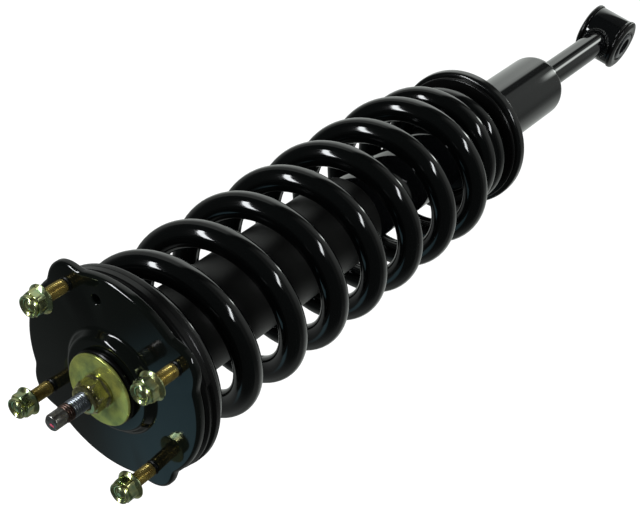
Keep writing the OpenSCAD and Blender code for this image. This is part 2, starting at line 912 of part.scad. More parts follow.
// Rubber cushion on the boss, with a neck down into its hole
module upper_cushion() {
    inner_r = spacer_d / 2 + free_gap;
    neck_r = boss_hole_d / 2 - fit_gap;
    outer_r = cushion_d / 2;
    low = boss_top + fit_gap;
    round_r = cushion_t * 0.4;
    color(rubber_black)
        turned(concat(
            [[inner_r, boss_low + fit_gap], [neck_r, boss_low + fit_gap],
             [neck_r, low], [outer_r - round_r, low]],
            arc(outer_r - round_r, low + round_r, round_r, -90, 0, 3),
            arc(outer_r - round_r, cushion_top - round_r, round_r, 0, 90, 3),
            [[inner_r, cushion_top]]
        ));
}

eye_sleeve();
eye_bushing();
eye_ring();
lower_stem();
damper_tube();
lower_spring_seat();
lower_spring_pad();
coil_spring();
base_valve();
pressure_tube();
rod_guide();
oil_seal();
striker_cap();
piston();
piston_band();
piston_nut();
rebound_stop();
piston_rod();
bump_stop();
dust_boot();
lower_washer();
spacer_sleeve();
upper_washer();
rod_nut();
mount_plate();
mount_studs();
stud_nuts();
upper_spring_seat();
upper_insulator();
lower_cushion();
upper_cushion();
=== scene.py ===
"""Dressed model of a coil-over strut assembly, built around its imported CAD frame.

The strut's lengths are millimetres until a mesh is made. Places and main sizes come from
the boxes of the frame's own solids, so each piece here stands exactly where its solid does.
"""

import logging
import math
from collections.abc import Sequence
from dataclasses import dataclass, field
from enum import Enum
from functools import cached_property

import bpy
import numpy as np
from mathutils import Matrix, Vector


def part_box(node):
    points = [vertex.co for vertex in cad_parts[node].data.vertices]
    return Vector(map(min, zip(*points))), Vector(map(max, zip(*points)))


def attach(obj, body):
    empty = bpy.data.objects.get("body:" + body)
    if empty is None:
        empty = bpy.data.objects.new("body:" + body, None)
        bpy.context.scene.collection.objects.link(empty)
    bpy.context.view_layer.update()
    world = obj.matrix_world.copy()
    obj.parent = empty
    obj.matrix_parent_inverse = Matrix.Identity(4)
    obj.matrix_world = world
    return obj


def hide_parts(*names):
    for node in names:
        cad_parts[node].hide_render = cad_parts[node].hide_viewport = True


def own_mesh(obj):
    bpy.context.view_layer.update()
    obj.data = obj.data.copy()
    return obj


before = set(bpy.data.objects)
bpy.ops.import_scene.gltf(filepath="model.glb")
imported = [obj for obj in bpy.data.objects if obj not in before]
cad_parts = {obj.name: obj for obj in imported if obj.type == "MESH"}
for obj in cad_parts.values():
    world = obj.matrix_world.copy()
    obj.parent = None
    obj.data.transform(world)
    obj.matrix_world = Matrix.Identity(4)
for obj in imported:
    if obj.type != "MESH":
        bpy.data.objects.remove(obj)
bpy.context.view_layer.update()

MM = 0.001
# Between pieces that touch, and inside the plate's own outline.
GAP = 0.02
# Radius of the spring's wire.
WIRE = 8.15
# Degrees between faces above which an edge shows.
CREASE = 32.0
LOG = logging.getLogger("strut")
Array = np.ndarray
Corner = tuple[float, float, float]
Tree = bpy.types.NodeTree
Node = bpy.types.Node
Socket = bpy.types.NodeSocket


class Body(Enum):
    """The moving bodies of the strut, by their names in the frame."""

    DAMPER = "damper"
    ROD = "rod"
    MOUNT = "mount"
    BOLT_SLEEVE = "eye_bolt_sleeve"


class Axis(Enum):
    """The two axes that round pieces are turned about."""

    STRUT = "z"
    BOLT = "y"


class Change(Enum):
    """How a shader's value goes from low to high, by Blender's names."""

    STRAIGHT = "LINEAR"
    EASED = "SMOOTHSTEP"


# ---- Frame sizes ----


@dataclass(frozen=True)
class Span:
    """The box of one CAD solid, in millimetres."""

    low: Array
    high: Array

    @property
    def radius(self) -> float:
        """Half the box's width along X."""
        return float(self.high[0] - self.low[0]) / 2

    @property
    def side(self) -> float:
        """How far it reaches along Y."""
        return float(self.high[1])

    @property
    def bottom(self) -> float:
        """The lowest height."""
        return float(self.low[2])

    @property
    def top(self) -> float:
        """The highest height."""
        return float(self.high[2])


def span(node: str) -> Span:
    """The box of a CAD node, by its name in the frame."""
    low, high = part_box(node)
    return Span(np.array(low) / MM, np.array(high) / MM)


def boxed(node: str) -> Span:
    """A dataclass field that is filled with the box of a CAD node."""
    return field(default_factory=lambda: span(node))


# ---- Shapes ----


@dataclass(frozen=True)
class Shape:
    """A closed surface: points in millimetres, and faces as rows of point numbers."""

    points: Array
    quads: Array
    triangles: Array

    def moved(self, x: float, y: float) -> "Shape":
        """The same surface, shifted by x and y millimetres."""
        return Shape(self.points + np.array([x, y, 0.0]), self.quads, self.triangles)

    def spun(self, degrees: float) -> "Shape":
        """The same surface, turned about Z.

        Args:
            degrees: The angle.

        Returns:
            The turned surface.
        """
        c, s = math.cos(math.radians(degrees)), math.sin(math.radians(degrees))
        turn = np.array([[c, -s, 0.0], [s, c, 0.0], [0.0, 0.0, 1.0]])
        return Shape(self.points @ turn.T, self.quads, self.triangles)

    def facing_out(self) -> "Shape":
        """The same surface with its faces turned outwards.

        The sum over all faces of corner one dot (corner two cross corner three) is six
        times the volume, and is negative where the faces point inwards.

        Returns:
            The surface, turned over if its volume came out negative.
        """
        fans = [self.triangles, self.quads[:, [0, 1, 2]], self.quads[:, [0, 2, 3]]]
        a, b, c = (self.points[np.concatenate([f[:, k] for f in fans])] for k in range(3))
        if np.einsum("ij,ij->i", a, np.cross(b, c)).sum() >= 0:
            return self
        return Shape(self.points, self.quads[:, ::-1], self.triangles[:, ::-1])


def joined(shapes: Sequence[Shape]) -> Shape:
    """Several surfaces as one.

    Args:
        shapes: The surfaces, which keep their points apart.

    Returns:
        One surface with every point and face.
    """
    starts = np.cumsum([0] + [len(s.points) for s in shapes[:-1]])
    return Shape(
        np.vstack([s.points for s in shapes]),
        np.vstack([s.quads + k for s, k in zip(shapes, starts)]),
        np.vstack([s.triangles + k for s, k in zip(shapes, starts)]),
    )


def woven(grid: Array, loop: bool = True) -> Shape:
    """A closed surface through a grid of points whose columns run round.

    Each cell between two rows and two columns is a face. Points that fall together,
    as at a pole, become one, and cells that shrink to a corner become triangles.

    Args:
        grid: Points as an array of rows, columns and three coordinates.
        loop: Whether the last row joins the first, as on a ring.

    Returns:
        The surface, with its faces outwards.
    """
    rows, columns = grid.shape[:2]
    index = np.arange(rows * columns).reshape(rows, columns)
    index = np.hstack([index, index[:, :1]])
    if loop:
        index = np.vstack([index, index[:1]])
    cells = np.stack([index[:-1, :-1], index[1:, :-1], index[1:, 1:], index[:-1, 1:]], axis=-1)
    points = grid.reshape(-1, 3)
    _, first, where = np.unique(
        np.round(points, 5), axis=0, return_index=True, return_inverse=True
    )
    cells = where.reshape(-1)[cells.reshape(-1, 4)]
    same = cells == np.roll(cells, -1, axis=1)
    shrunk = same.sum(axis=1)
    corners = cells[shrunk == 1][~same[shrunk == 1]].reshape(-1, 3)
    return Shape(points[first], cells[shrunk == 0], corners).facing_out()


def smooth(x: Array | float) -> Array:
    """An S-shaped rise from 0 to 1: 3x squared less 2x cubed, held at both ends."""
    x = np.clip(x, 0.0, 1.0)
    return x * x * (3 - 2 * x)


def rounded(corners: Sequence[Corner], steps: int) -> Array:
    """A profile whose corners are rounded by circular arcs.

    An arc between the points P and R that lie one tangent length from the corner Q is
    the weighted mean of P, Q and R with weights (1-t) squared, 2t(1-t)w and t squared,
    where w is the sine of half the corner's inner angle.

    Args:
        corners: Radius from the axis, height, and arc radius of each corner.
        steps: Points on each arc.

    Returns:
        Points of radius and height.
    """
    raw = np.array(corners, float)
    here, arc = raw[:, :2], raw[:, 2]
    before, after = np.roll(here, 1, axis=0) - here, np.roll(here, -1, axis=0) - here
    reach_in, reach_out = np.linalg.norm(before, axis=1), np.linalg.norm(after, axis=1)
    before, after = before / reach_in[:, None], after / reach_out[:, None]
    half = np.arccos(np.clip((before * after).sum(axis=1), -1, 1)) / 2
    tangent = np.minimum(arc / np.tan(half), 0.49 * np.minimum(reach_in, reach_out))
    t = np.linspace(0, 1, steps)[None, :, None]
    w = np.sin(half)[:, None, None]
    p = (here + before * tangent[:, None])[:, None]
    r = (here + after * tangent[:, None])[:, None]
    top = (1 - t) ** 2 * p + 2 * t * (1 - t) * w * here[:, None] + t**2 * r
    points = (top / ((1 - t) ** 2 + 2 * t * (1 - t) * w + t**2)).reshape(-1, 2)
    apart = np.linalg.norm(points - np.roll(points, 1, axis=0), axis=1) > 1e-5
    apart[0] = True
    return points[apart]


def two_sided(half: Sequence[Corner]) -> list[Corner]:
    """A section's corners above the middle, then the same ones mirrored below it."""
    return [*half, *((radius, -height, arc) for radius, height, arc in reversed(half))]


def round_angles(sides: int) -> Array:
    """Equal angles round a full turn, in radians."""
    return np.linspace(0, 2 * np.pi, sides, endpoint=False)


def placed(radius: Array, height: Array, angle: Array, axis: Axis = Axis.STRUT) -> Array:
    """Points at a distance from an axis, a height along it and an angle round it.

    Args:
        radius: Distances from the axis, as a grid or one column.
        height: Heights along the axis, as a grid or one column.
        angle: Angles round the axis, one for each column.
        axis: The axis that the points stand round.

    Returns:
        A grid of points.
    """
    radius, height, angle = np.broadcast_arrays(radius, height, angle)
    across, along = radius * np.cos(angle), radius * np.sin(angle)
    if axis is Axis.STRUT:
        return np.stack([across, along, height], axis=-1)
    return np.stack([across, height, along], axis=-1)


def turned(
    corners: Sequence[Corner], steps: int = 6, sides: int = 160, axis: Axis = Axis.STRUT
) -> Shape:
    """A body of revolution: every profile point goes round the axis at its own radius.

    Args:
        corners: Radius, height and arc of each corner of the section. It starts and ends
            on the axis, or is a ring's closed section.
        steps: Points on each arc.
        sides: Columns round the axis.
        axis: The axis of the turning.

    Returns:
        The closed surface.
    """
    profile = rounded(corners, steps)
    grid = placed(profile[:, :1], profile[:, 1:], round_angles(sides), axis)
    return woven(grid, loop=profile[0, 0] > 1e-6)


def beaded(path: Array, outward: Array, radius: Array, sides: int = 20) -> Shape:
    """A round bead: path + radius (cos b times outward + sin b times side).

    Args:
        path: Points of the closed path, in order.
        outward: A direction for each point, at right angles to the path.
        radius: The bead's radius at each point.
        sides: Points round the bead.

    Returns:
        The closed surface.
    """
    ahead = np.roll(path, -1, axis=0) - np.roll(path, 1, axis=0)
    ahead /= np.linalg.norm(ahead, axis=1)[:, None]
    out = outward - ahead * (outward * ahead).sum(axis=1)[:, None]
    out /= np.linalg.norm(out, axis=1)[:, None]
    side = np.cross(ahead, out)
    b = round_angles(sides)[None, :, None]
    round_it = np.cos(b) * out[:, None] + np.sin(b) * side[:, None]
    return woven(path[:, None] + radius[:, None, None] * round_it)


def screw_thread(
    crest: float, pitch: float, low: float, high: float, tip: float, run_in: float = 1.2
) -> Shape:
    """A right-hand screw thread, closed at both ends.

    The radius is the crest less a depth of 0.54 pitch times the rounded saw of (height over
    pitch less angle over a full turn), cut back by a steep chamfer at the tip, and fading
    into a plain shank at its foot.

    Args:
        crest: Radius over the crests.
        pitch: Rise of one turn.
        low: Height of the foot.
        high: Height of the tip.
        tip: Depth of the tip's chamfer.
        run_in: Height over which the thread starts at the foot.

    Returns:
        The closed surface.
    """
    sides, rows_per_turn, deep, steep = 48, 10, 0.54, 1.2
    z = np.linspace(low, high, int((high - low) / pitch * rows_per_turn))[:, None]
    angle = round_angles(sides)[None, :]
    saw = np.abs(((z - low) / pitch - angle / (2 * np.pi)) % 1.0 - 0.5) * 2
    depth = deep * pitch * smooth((z - low) / run_in)
    radius = crest - depth * (0.5 - 0.5 * np.cos(np.pi * np.clip(1.25 * saw - 0.125, 0, 1)))
    radius = np.minimum(radius, crest - tip + (high - z) * steep)
    grid = placed(radius, z, angle)
    foot, end = (placed(np.zeros((1, 1)), np.full((1, 1), h), angle) for h in (low, high))
    return woven(np.concatenate([foot, grid, end]), loop=False)


def nut_shape(flats: float, rows: Sequence[Corner]) -> Shape:
    """A hexagon nut, closed, with a flange, chamfers and a collar.

    At every row the radius is the larger of the flange's radius and the smaller of the
    hexagon's radius and the blank's radius. The hexagon's radius at an angle is half the
    flats over the cosine of the angle to the middle of the nearest flat, and its corners
    are softened with the circle through them.

    Args:
        flats: Width across the flats.
        rows: Radius and height of the turned blank, and the flange's radius or 0.

    Returns:
        The closed surface.
    """
    sides, kept_corner, power = 96, 0.992, 60
    table, angle = np.array(rows), round_angles(sides)
    away = (angle + np.pi / 6) % (np.pi / 3) - np.pi / 6
    corner = flats / math.sqrt(3) * kept_corner
    hexagon = ((flats / 2 / np.cos(away)) ** -power + corner**-power) ** (-1 / power)
    radius = np.maximum(table[:, 2:], np.minimum(hexagon[None], table[:, :1]))
    return woven(placed(radius, table[:, 1:2], angle[None]))


# ---- Nodes ----


def linear(code: str) -> tuple[float, float, float, float]:
    """A colour for a shader from its sRGB hex code.

    Args:
        code: Six hex digits after a hash sign.

    Returns:
        The linear red, green and blue, and an alpha of 1.
    """
    part = np.array([int(code[k : k + 2], 16) / 255 for k in (1, 3, 5)])
    flat = np.where(part <= 0.04045, part / 12.92, ((part + 0.055) / 1.055) ** 2.4)
    return (*(float(v) for v in flat), 1.0)


def plug(node: Node, **sockets: object) -> None:
    """Sets or links inputs of a node.

    Args:
        node: The node.
        **sockets: A value, an output socket or a node, whose first output is meant, for
            each input. It is named with _ for a space, or in0, in1 and so on by number.
    """
    for name, value in sockets.items():
        number = name.removeprefix("in")
        socket = node.inputs[int(number) if number.isdigit() else name.replace("_", " ")]
        if isinstance(value, Node):
            value = value.outputs[0]
        if isinstance(value, Socket):
            node.id_data.links.new(value, socket)
        else:
            socket.default_value = value


def add(tree: Tree, kind: str, settings: dict[str, object] | None = None, **sockets: object) -> Node:
    """Adds one node to a tree.

    Args:
        tree: The node tree.
        kind: The node's type name.
        settings: Its properties, by name.
        **sockets: Its inputs, as plug takes them.

    Returns:
        The new node.
    """
    node = tree.nodes.new(kind)
    for name, value in (settings or {}).items():
        setattr(node, name, value)
    plug(node, **sockets)
    return node


def worked(tree: Tree, operation: str, *values: object) -> Node:
    """One step of arithmetic on one or two values."""
    inputs = {f"in{k}": value for k, value in enumerate(values)}
    return add(tree, "ShaderNodeMath", {"operation": operation}, **inputs)


def ranged(
    tree: Tree, value: object, start: float, end: float, low: float, high: float,
    change: Change = Change.EASED,
) -> Node:
    """A change from low to high as a value goes from start to end.

    Args:
        tree: The node tree.
        value: The node or socket that is read.
        start: The value at which the change starts.
        end: The value at which it ends.
        low: What is given at the start.
        high: What is given at the end.
        change: How it goes from one to the other.

    Returns:
        The node that gives it.
    """
    ends = {"From_Min": start, "From_Max": end, "To_Min": low, "To_Max": high}
    kind = {"interpolation_type": change.value}
    return add(tree, "ShaderNodeMapRange", kind, Value=value, **ends)


def noise(tree: Tree, place: Socket, size: float, detail: float = 2.0) -> Node:
    """Soft noise with features of a size in millimetres: the scale is one over that size."""
    return add(tree, "ShaderNodeTexNoise", Vector=place, Scale=1 / (size * MM), Detail=detail)


# ---- Finishes ----


@dataclass(frozen=True)
class Grain:
    """A fine pattern on a surface: its size in millimetres, and how deep it looks."""

    size: float
    strength: float
    depth: float = 0.05


@dataclass(frozen=True)
class Tint:
    """A second colour in soft patches of a size in millimetres, by a sharpness from 0 to 1."""

    colour: str
    size: float
    sharpness: float


@dataclass(frozen=True)
class Finish:
    """One real finish, the record's material slot for it, and what it gives the eye."""

    name: str
    slot: str
    colour: str
    roughness: float
    metallic: float = 0.0
    specular: float = 0.5
    grain: Grain | None = None
    tint: Tint | None = None
    wear: Grain | None = None

    @cached_property
    def material(self) -> bpy.types.Material:
        """The shader: one Principled surface with its patterns on Object coordinates."""
        made = bpy.data.materials.new(self.name)
        made.use_nodes = True
        tree = made.node_tree
        place = add(tree, "ShaderNodeTexCoord").outputs["Object"]
        look = {
            "Base_Color": linear(self.colour), "Roughness": self.roughness,
            "Metallic": self.metallic, "Specular_IOR_Level": self.specular,
        }
        if self.tint:
            look["Base_Color"] = self.clouded(tree, place, self.tint)
        if self.wear:
            rub = noise(tree, place, self.wear.size)
            low = max(0.02, self.roughness - self.wear.strength)
            high = self.roughness + self.wear.strength
            look["Roughness"] = ranged(tree, rub, 0.3, 0.7, low, high, Change.STRAIGHT)
        if self.grain:
            relief = noise(tree, place, self.grain.size)
            look["Normal"] = add(
                tree, "ShaderNodeBump", Strength=self.grain.strength,
                Distance=self.grain.depth * MM, Height=relief,
            )
        plug(tree.nodes["Principled BSDF"], **look)
        return made

    def clouded(self, tree: Tree, place: Socket, tint: Tint) -> Socket:
        """The finish's colour with patches of its tint.

        Args:
            tree: The material's node tree.
            place: The coordinates to read.
            tint: The second colour and its patches.

        Returns:
            The mixed colour.
        """
        sharpest, softest = 0.02, 0.195
        spots = noise(tree, place, tint.size, detail=3.0)
        edge = softest + (sharpest - softest) * tint.sharpness
        share = ranged(tree, spots, 0.5 - edge, 0.5 + edge, 0.0, 1.0, Change.STRAIGHT)
        first, second = linear(self.colour), linear(tint.colour)
        kind = {"data_type": "RGBA"}
        return add(tree, "ShaderNodeMix", kind, in0=share, in6=first, in7=second).outputs[2]


# Powder coat baked on spring wire: deep black under a wet gloss, a trace of orange peel.
POWDER_COAT = Finish(
    "powder_coat_gloss_black", "gloss_black_paint", "#050606", 0.09, grain=Grain(3.0, 0.04)
)
# Electro-dipped pressing: near-mirror black skin, a trace of green-grey haze in its depth.
DIP_COAT = Finish(
    "dip_coat_gloss_black", "gloss_black_paint", "#080b09", 0.08, grain=Grain(9.0, 0.04, 0.08),
    wear=Grain(20, 0.02),
)
# Sprayed enamel on drawn tube: smooth gloss with a soft grey haze.
TUBE_ENAMEL = Finish(
    "enamel_gloss_black_on_tube", "gloss_black_paint", "#08090a", 0.05, grain=Grain(9.0, 0.02, 0.06)
)
# Dip coat on the pressed seats: less polished, so its lights are wider.
SATIN_DIP = Finish(
    "dip_coat_satin_black", "satin_black_paint", "#090a0a", 0.15, grain=Grain(3.0, 0.06)
)
# The plate's paint run a little up the studs: rougher over their thread.
FOOT_PAINT = Finish(
    "dip_coat_on_thread", "gloss_black_paint", "#080908", 0.36, specular=0.3,
    grain=Grain(0.8, 0.3, 0.1),
)
# Enamel pooled over a weld bead: gloss black with small sparkles on the ripples.
WELD_ENAMEL = Finish(
    "enamel_over_weld_bead", "gloss_black_paint", "#060707", 0.24, specular=0.4,
    grain=Grain(1.1, 0.3, 0.15),
)
# Blow-moulded thermoplastic boot: flat, even, very dark.
BOOT_PLASTIC = Finish(
    "blow_moulded_tpe_matt_black", "boot_plastic", "#080808", 0.38, specular=0.2,
    grain=Grain(0.9, 0.06, 0.04),
)
# Moulded natural rubber with its slight bloom.
RUBBER = Finish(
    "moulded_rubber_black", "rubber", "#080808", 0.24, specular=0.28, grain=Grain(0.9, 0.06)
)
# Yellow chromate over zinc on nuts: green-yellow, bright, clouded with blue-green.
YELLOW_CHROMATE = Finish(
    "zinc_yellow_chromate_nut", "yellow_zinc", "#e0dd98", 0.22, metallic=1.0,
    tint=Tint("#b3cfa4", 4.0, 0.1), wear=Grain(2.5, 0.06),
)
# The same bath on rolled stud threads, where it comes out olive bronze.
BRONZE_CHROMATE = Finish(
    "zinc_bronze_chromate_thread", "yellow_zinc", "#b5a45e", 0.27, metallic=0.75,
    tint=Tint("#8a7640", 4.0, 0.2),
)
# The same bath on a flat pressed washer: mirror-like, yellow drifting to green-grey.
WASHER_CHROMATE = Finish(
    "zinc_yellow_chromate_pressing", "yellow_zinc", "#d3d873", 0.18, metallic=0.72,
    tint=Tint("#8f9c5f", 9.0, 0.1), wear=Grain(3.0, 0.05), grain=Grain(5.0, 0.10, 0.10),
)
# The bath on the lock nut, thinner: olive with silver-blue on its edges.
PALE_ZINC = Finish(
    "zinc_thin_chromate_nut", "yellow_zinc", "#d6cf96", 0.13, metallic=0.95,
    tint=Tint("#96936c", 4.0, 0.2),
)
# Oiled rolled thread on the rod: steel blue.
PHOSPHATE = Finish("rolled_thread_oiled", "rod_chrome", "#989ea6", 0.34, metallic=1.0)
# The thread's last turns, stained brown by old oil.
STAINED = Finish(
    "rolled_thread_stained", "rod_chrome", "#7d6a62", 0.34, metallic=1.0,
    tint=Tint("#5a4640", 1.6, 0.4),
)
# Rod tip turned and flatted after hardening: warm grey bare steel.
ROD_TIP = Finish(
    "turned_steel_tip", "rod_chrome", "#8e8d8a", 0.30, metallic=0.95,
    tint=Tint("#6c6763", 2.2, 0.3),
)
# Hard chrome, ground and polished.
HARD_CHROME = Finish("hard_chrome_polished", "rod_chrome", "#c9cbcd", 0.08, metallic=1.0)
# Turned and oiled steel.
BARE_STEEL = Finish(
    "turned_steel_oiled", "bare_steel", "#a3a4a4", 0.30, metallic=1.0,
    tint=Tint("#85868a", 5.0, 0.2),
)
# Turned steel sleeve in the lower eye, darker with rust-proofing oil.
SLEEVE_STEEL = Finish(
    "cold_drawn_steel_oiled", "bare_steel", "#5d5e61", 0.32, metallic=1.0,
    grain=Grain(0.7, 0.2, 0.04),
)
# Cellular polyurethane, cream going brown, very matt.
FOAM = Finish(
    "cellular_polyurethane", "bump_foam", "#8c7f5a", 0.85, specular=0.2, grain=Grain(0.8, 0.8, 0.3)
)
# Bronze-filled sealing band.
BAND_PLASTIC = Finish(
    "filled_ptfe_band", "low_friction_plastic", "#3c4238", 0.45, grain=Grain(0.5, 0.1, 0.03)
)
# A dab of marking paint on the rod's end.
MARK_PAINT = Finish("marking_paint_red", "rod_chrome", "#c9526b", 0.45)


# ---- Pieces ----


def in_scene(name: str, data: bpy.types.ID) -> bpy.types.Object:
    """A new object in the scene, at the origin.

    Args:
        name: Its name.
        data: The mesh, lamp or camera that it holds.

    Returns:
        The object.
    """
    made = bpy.data.objects.new(name, data)
    bpy.context.scene.collection.objects.link(made)
    return made


def mesh_of(name: str, shape: Shape) -> bpy.types.Mesh:
    """A closed surface as a mesh.

    Args:
        name: The mesh's name.
        shape: The surface, in millimetres.

    Returns:
        The mesh, in metres.
    """
    mesh = bpy.data.meshes.new(name)
    faces = [*shape.quads.tolist(), *shape.triangles.tolist()]
    mesh.from_pydata((shape.points * MM).tolist(), [], faces)
    return mesh


def shade(mesh: bpy.types.Mesh, crease: float) -> None:
    """Shades a mesh smooth, with an edge where faces meet at more than the crease's degrees."""
    mesh.shade_smooth()
    mesh.set_sharp_from_angle(angle=math.radians(crease))


def piece(
    name: str, form: Shape | bpy.types.Mesh, finish: Finish, body: Body, *nodes: str,
    crease: float = CREASE,
) -> bpy.types.Object:
    """Makes one finished piece, with its place in its own mesh.

    Args:
        name: The piece's name.
        form: Its closed surface in millimetres, or its mesh.
        finish: What it is finished with.
        body: The body that it moves with.
        *nodes: The CAD nodes that it stands for and hides.
        crease: Degrees between faces above which an edge shows.

    Returns:
        The new object.
    """
    mesh = form
    if isinstance(form, Shape):
        mesh = mesh_of(name, form)
        shade(mesh, crease)
    mesh.materials.append(finish.material)
    made = in_scene(name, mesh)
    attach(made, body.value)
    if nodes:
        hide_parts(*nodes)
    LOG.info("%s on %s for %s", made.name, body.value, ", ".join(nodes) or "nothing")
    return made


def drill(made: bpy.types.Object, hole: Shape) -> None:
    """Cuts a shape out of a piece and keeps the result as its mesh.

    Args:
        made: The piece.
        hole: The closed surface to take away.
    """
    cutter = in_scene("cutter", mesh_of("cutter", hole))
    cut = made.modifiers.new("hole", "BOOLEAN")
    cut.operation, cut.solver, cut.object = "DIFFERENCE", "EXACT", cutter
    graph = bpy.context.evaluated_depsgraph_get()
    result = bpy.data.meshes.new_from_object(made.evaluated_get(graph), depsgraph=graph)
    made.modifiers.remove(cut)
    bpy.data.objects.remove(cutter)
    made.data = result
    shade(result, CREASE)


# ---- Lower eye ----


@dataclass
class LowerEye:
    """Ring, rubber bush and steel sleeve at the strut's foot, turned about the bolt's axis."""

    ring: Span = boxed("eye_ring")
    bush: Span = boxed("eye_bushing")
    sleeve: Span = boxed("eye_sleeve")
    ring_wall: float = 3.4
    ring_edge: float = 1.3
    bore_radius: float = 7.1
    groove_depth: float = 1.5
    sleeve_chamfer: float = 0.9

    def build_ring(self) -> None:
        """The steel ring: a short tube with rounded rims."""
        outer, half = self.ring.radius, self.ring.side
        section = two_sided([(outer - self.ring_wall, half, 0.3), (outer, half, self.ring_edge)])
        ring = turned(section, axis=Axis.BOLT)
        piece("eye_ring_painted", ring, TUBE_ENAMEL, Body.DAMPER, "eye_ring")

    def build_bush(self) -> None:
        """The rubber bush: a tube with a rounded flange on each side of the ring."""
        inner = self.sleeve.radius + 0.05
        body = self.ring.radius - self.ring_wall - GAP
        flange, face = self.bush.radius, self.bush.side
        seat, deep = self.ring.side + GAP, face - self.groove_depth
        half = [
            (inner, deep, 0.2), (inner + 1.3, deep, 0.5), (inner + 2.2, face - 0.2, 0.7),
            (flange - 3.4, face, 2.0), (flange, face - 1.6, 1.7), (flange, seat, 0.8),
            (body, seat, 0.1),
        ]
        bush = turned(two_sided(half), axis=Axis.BOLT)
        piece("eye_bush_rubber", bush, RUBBER, Body.DAMPER, "eye_bushing")

    def build_sleeve(self) -> None:
        """The steel sleeve that the lower bolt clamps, with chamfered ends."""
        outer, half, cut = self.sleeve.radius, self.sleeve.side, self.sleeve_chamfer
        section = [(self.bore_radius, half, 0.5), (outer - cut, half, 0.2), (outer, half - cut, 0.2)]
        sleeve = turned(two_sided(section), sides=128, axis=Axis.BOLT)
        piece("eye_sleeve_steel", sleeve, SLEEVE_STEEL, Body.BOLT_SLEEVE, "eye_sleeve")

    def build(self) -> None:
        """Builds the three pieces."""
        self.build_ring()
        self.build_bush()
        self.build_sleeve()


# ---- Damper ----


@dataclass
class Damper:
    """Closed tube, its stem with both welds, and the pressed spring seat with its pad."""

    tube: Span = boxed("damper_tube")
    stem: Span = boxed("lower_stem")
    ring: Span = boxed("eye_ring")
    seat: Span = boxed("lower_spring_seat")
    pad: Span = boxed("lower_spring_pad")
    tube_wall: float = 2.4
    shoulder: float = 9.0
    stem_radius: float = 10.1
    stem_rows: int = 40
    seat_thick: float = 2.6
    seat_collar: float = 12.0
    seat_lip: float = 7.0
    pad_gap: float = 3.0
    bead: float = 1.7

    def build_tube(self) -> None:
        """The reservoir tube, spun closed at its lower end with a round shoulder."""
        outer, low, high = self.tube.radius, self.tube.bottom, self.tube.top
        inner, floor = outer - self.tube_wall, low + self.tube_wall
        corners = [
            (0.0, low, 0.0), (outer, low, self.shoulder), (outer, high, 0.4), (inner, high, 0.4),
            (inner, floor, self.shoulder - self.tube_wall), (0.0, floor, 0.0),
        ]
        tube = turned(corners, 14, 192)
        piece("damper_tube_painted", tube, TUBE_ENAMEL, Body.DAMPER, "damper_tube")

    def build_stem(self) -> None:
        """The stem: its foot follows the eye ring, its head meets the tube.

        Round the stem, the foot stands at the root of (ring radius squared less x squared).
        Between foot and head the rows keep an equal share of the height.
        """
        radius, saddle = self.stem_radius, self.ring.radius + GAP
        angle = round_angles(96)[None, :]
        reach = np.pad(np.full(self.stem_rows, radius), 1)[:, None]
        share = np.pad(np.linspace(0, 1, self.stem_rows), 1, mode="edge")[:, None]
        foot = np.sqrt(saddle**2 - (radius * np.cos(angle)) ** 2)
        foot = np.where(reach > 0, foot, saddle)
        grid = placed(reach, foot + (self.stem.top - foot) * share, angle)
        stem = woven(grid, loop=False)
        piece("stem_painted", stem, TUBE_ENAMEL, Body.DAMPER, "lower_stem")

    def build_welds(self) -> None:
        """A weld bead under the tube and one round the foot, each with its ripples.

        A bead's radius is its mean plus small waves round the stem. The foot's bead runs
        where the stem's wall meets the ring, at the root of (ring squared less x squared).
        """
        angle = round_angles(360)
        level = np.zeros_like(angle)
        outward = np.stack([np.cos(angle), np.sin(angle), level], axis=1)
        ripple = 0.16 * np.sin(34 * angle) + 0.12 * np.sin(3 * angle + 0.7)
        low = self.stem_radius + 0.5
        foot_z = np.sqrt((self.ring.radius - 0.1) ** 2 - (low * np.cos(angle)) ** 2)
        foot = outward * low + np.stack([level, level, foot_z], axis=1)
        head = outward * (self.stem_radius + 0.6) + np.array([0, 0, self.tube.bottom - 1.2])
        for name, path, size in (("foot", foot, self.bead + 0.3), ("head", head, self.bead)):
            weld = beaded(path, outward, size + ripple)
            piece(f"weld_bead_{name}", weld, WELD_ENAMEL, Body.DAMPER, crease=60.0)

    def build_seat(self) -> None:
        """The pressed seat: collar on the tube, step, flat for the pad and turned-down lip."""
        hole, outer, high = self.tube.radius + GAP, self.seat.radius, self.seat.top
        thick, hem = self.seat_thick, high - self.seat_lip
        low, collar = high - thick, hole + thick
        corners = [
            (hole, low - self.seat_collar, 0.5), (collar, low - self.seat_collar, 0.5),
            (collar, low, 3.0), (outer - thick, low, 1.2), (outer - thick, hem, 0.6),
            (outer, hem, 0.9), (outer, high, 3.4), (outer - 5.4, high, 1.0),
            (outer - 6.2, high - 0.5, 0.8), (hole, high - 0.5, 1.2),
        ]
        seat = turned(corners, 8, 192)
        piece("spring_seat_lower_pressed", seat, SATIN_DIP, Body.DAMPER, "lower_spring_seat")

    def build_pad(self) -> None:
        """The rubber ring that the spring's lower end stands on."""
        inner, outer = self.tube.radius + self.pad_gap, self.pad.radius
        low, high = self.pad.bottom, self.pad.top
        section = [(inner, low, 0.3), (outer, low, 0.6), (outer, high, 1.3), (inner, high, 0.8)]
        pad = turned(section, sides=144)
        piece("spring_pad_rubber", pad, RUBBER, Body.DAMPER, "lower_spring_pad")

    def build(self) -> None:
        """Builds every piece of the damper's outside."""
        self.build_tube()
        self.build_stem()
        self.build_welds()
        self.build_seat()
        self.build_pad()


# ---- Coil spring ----


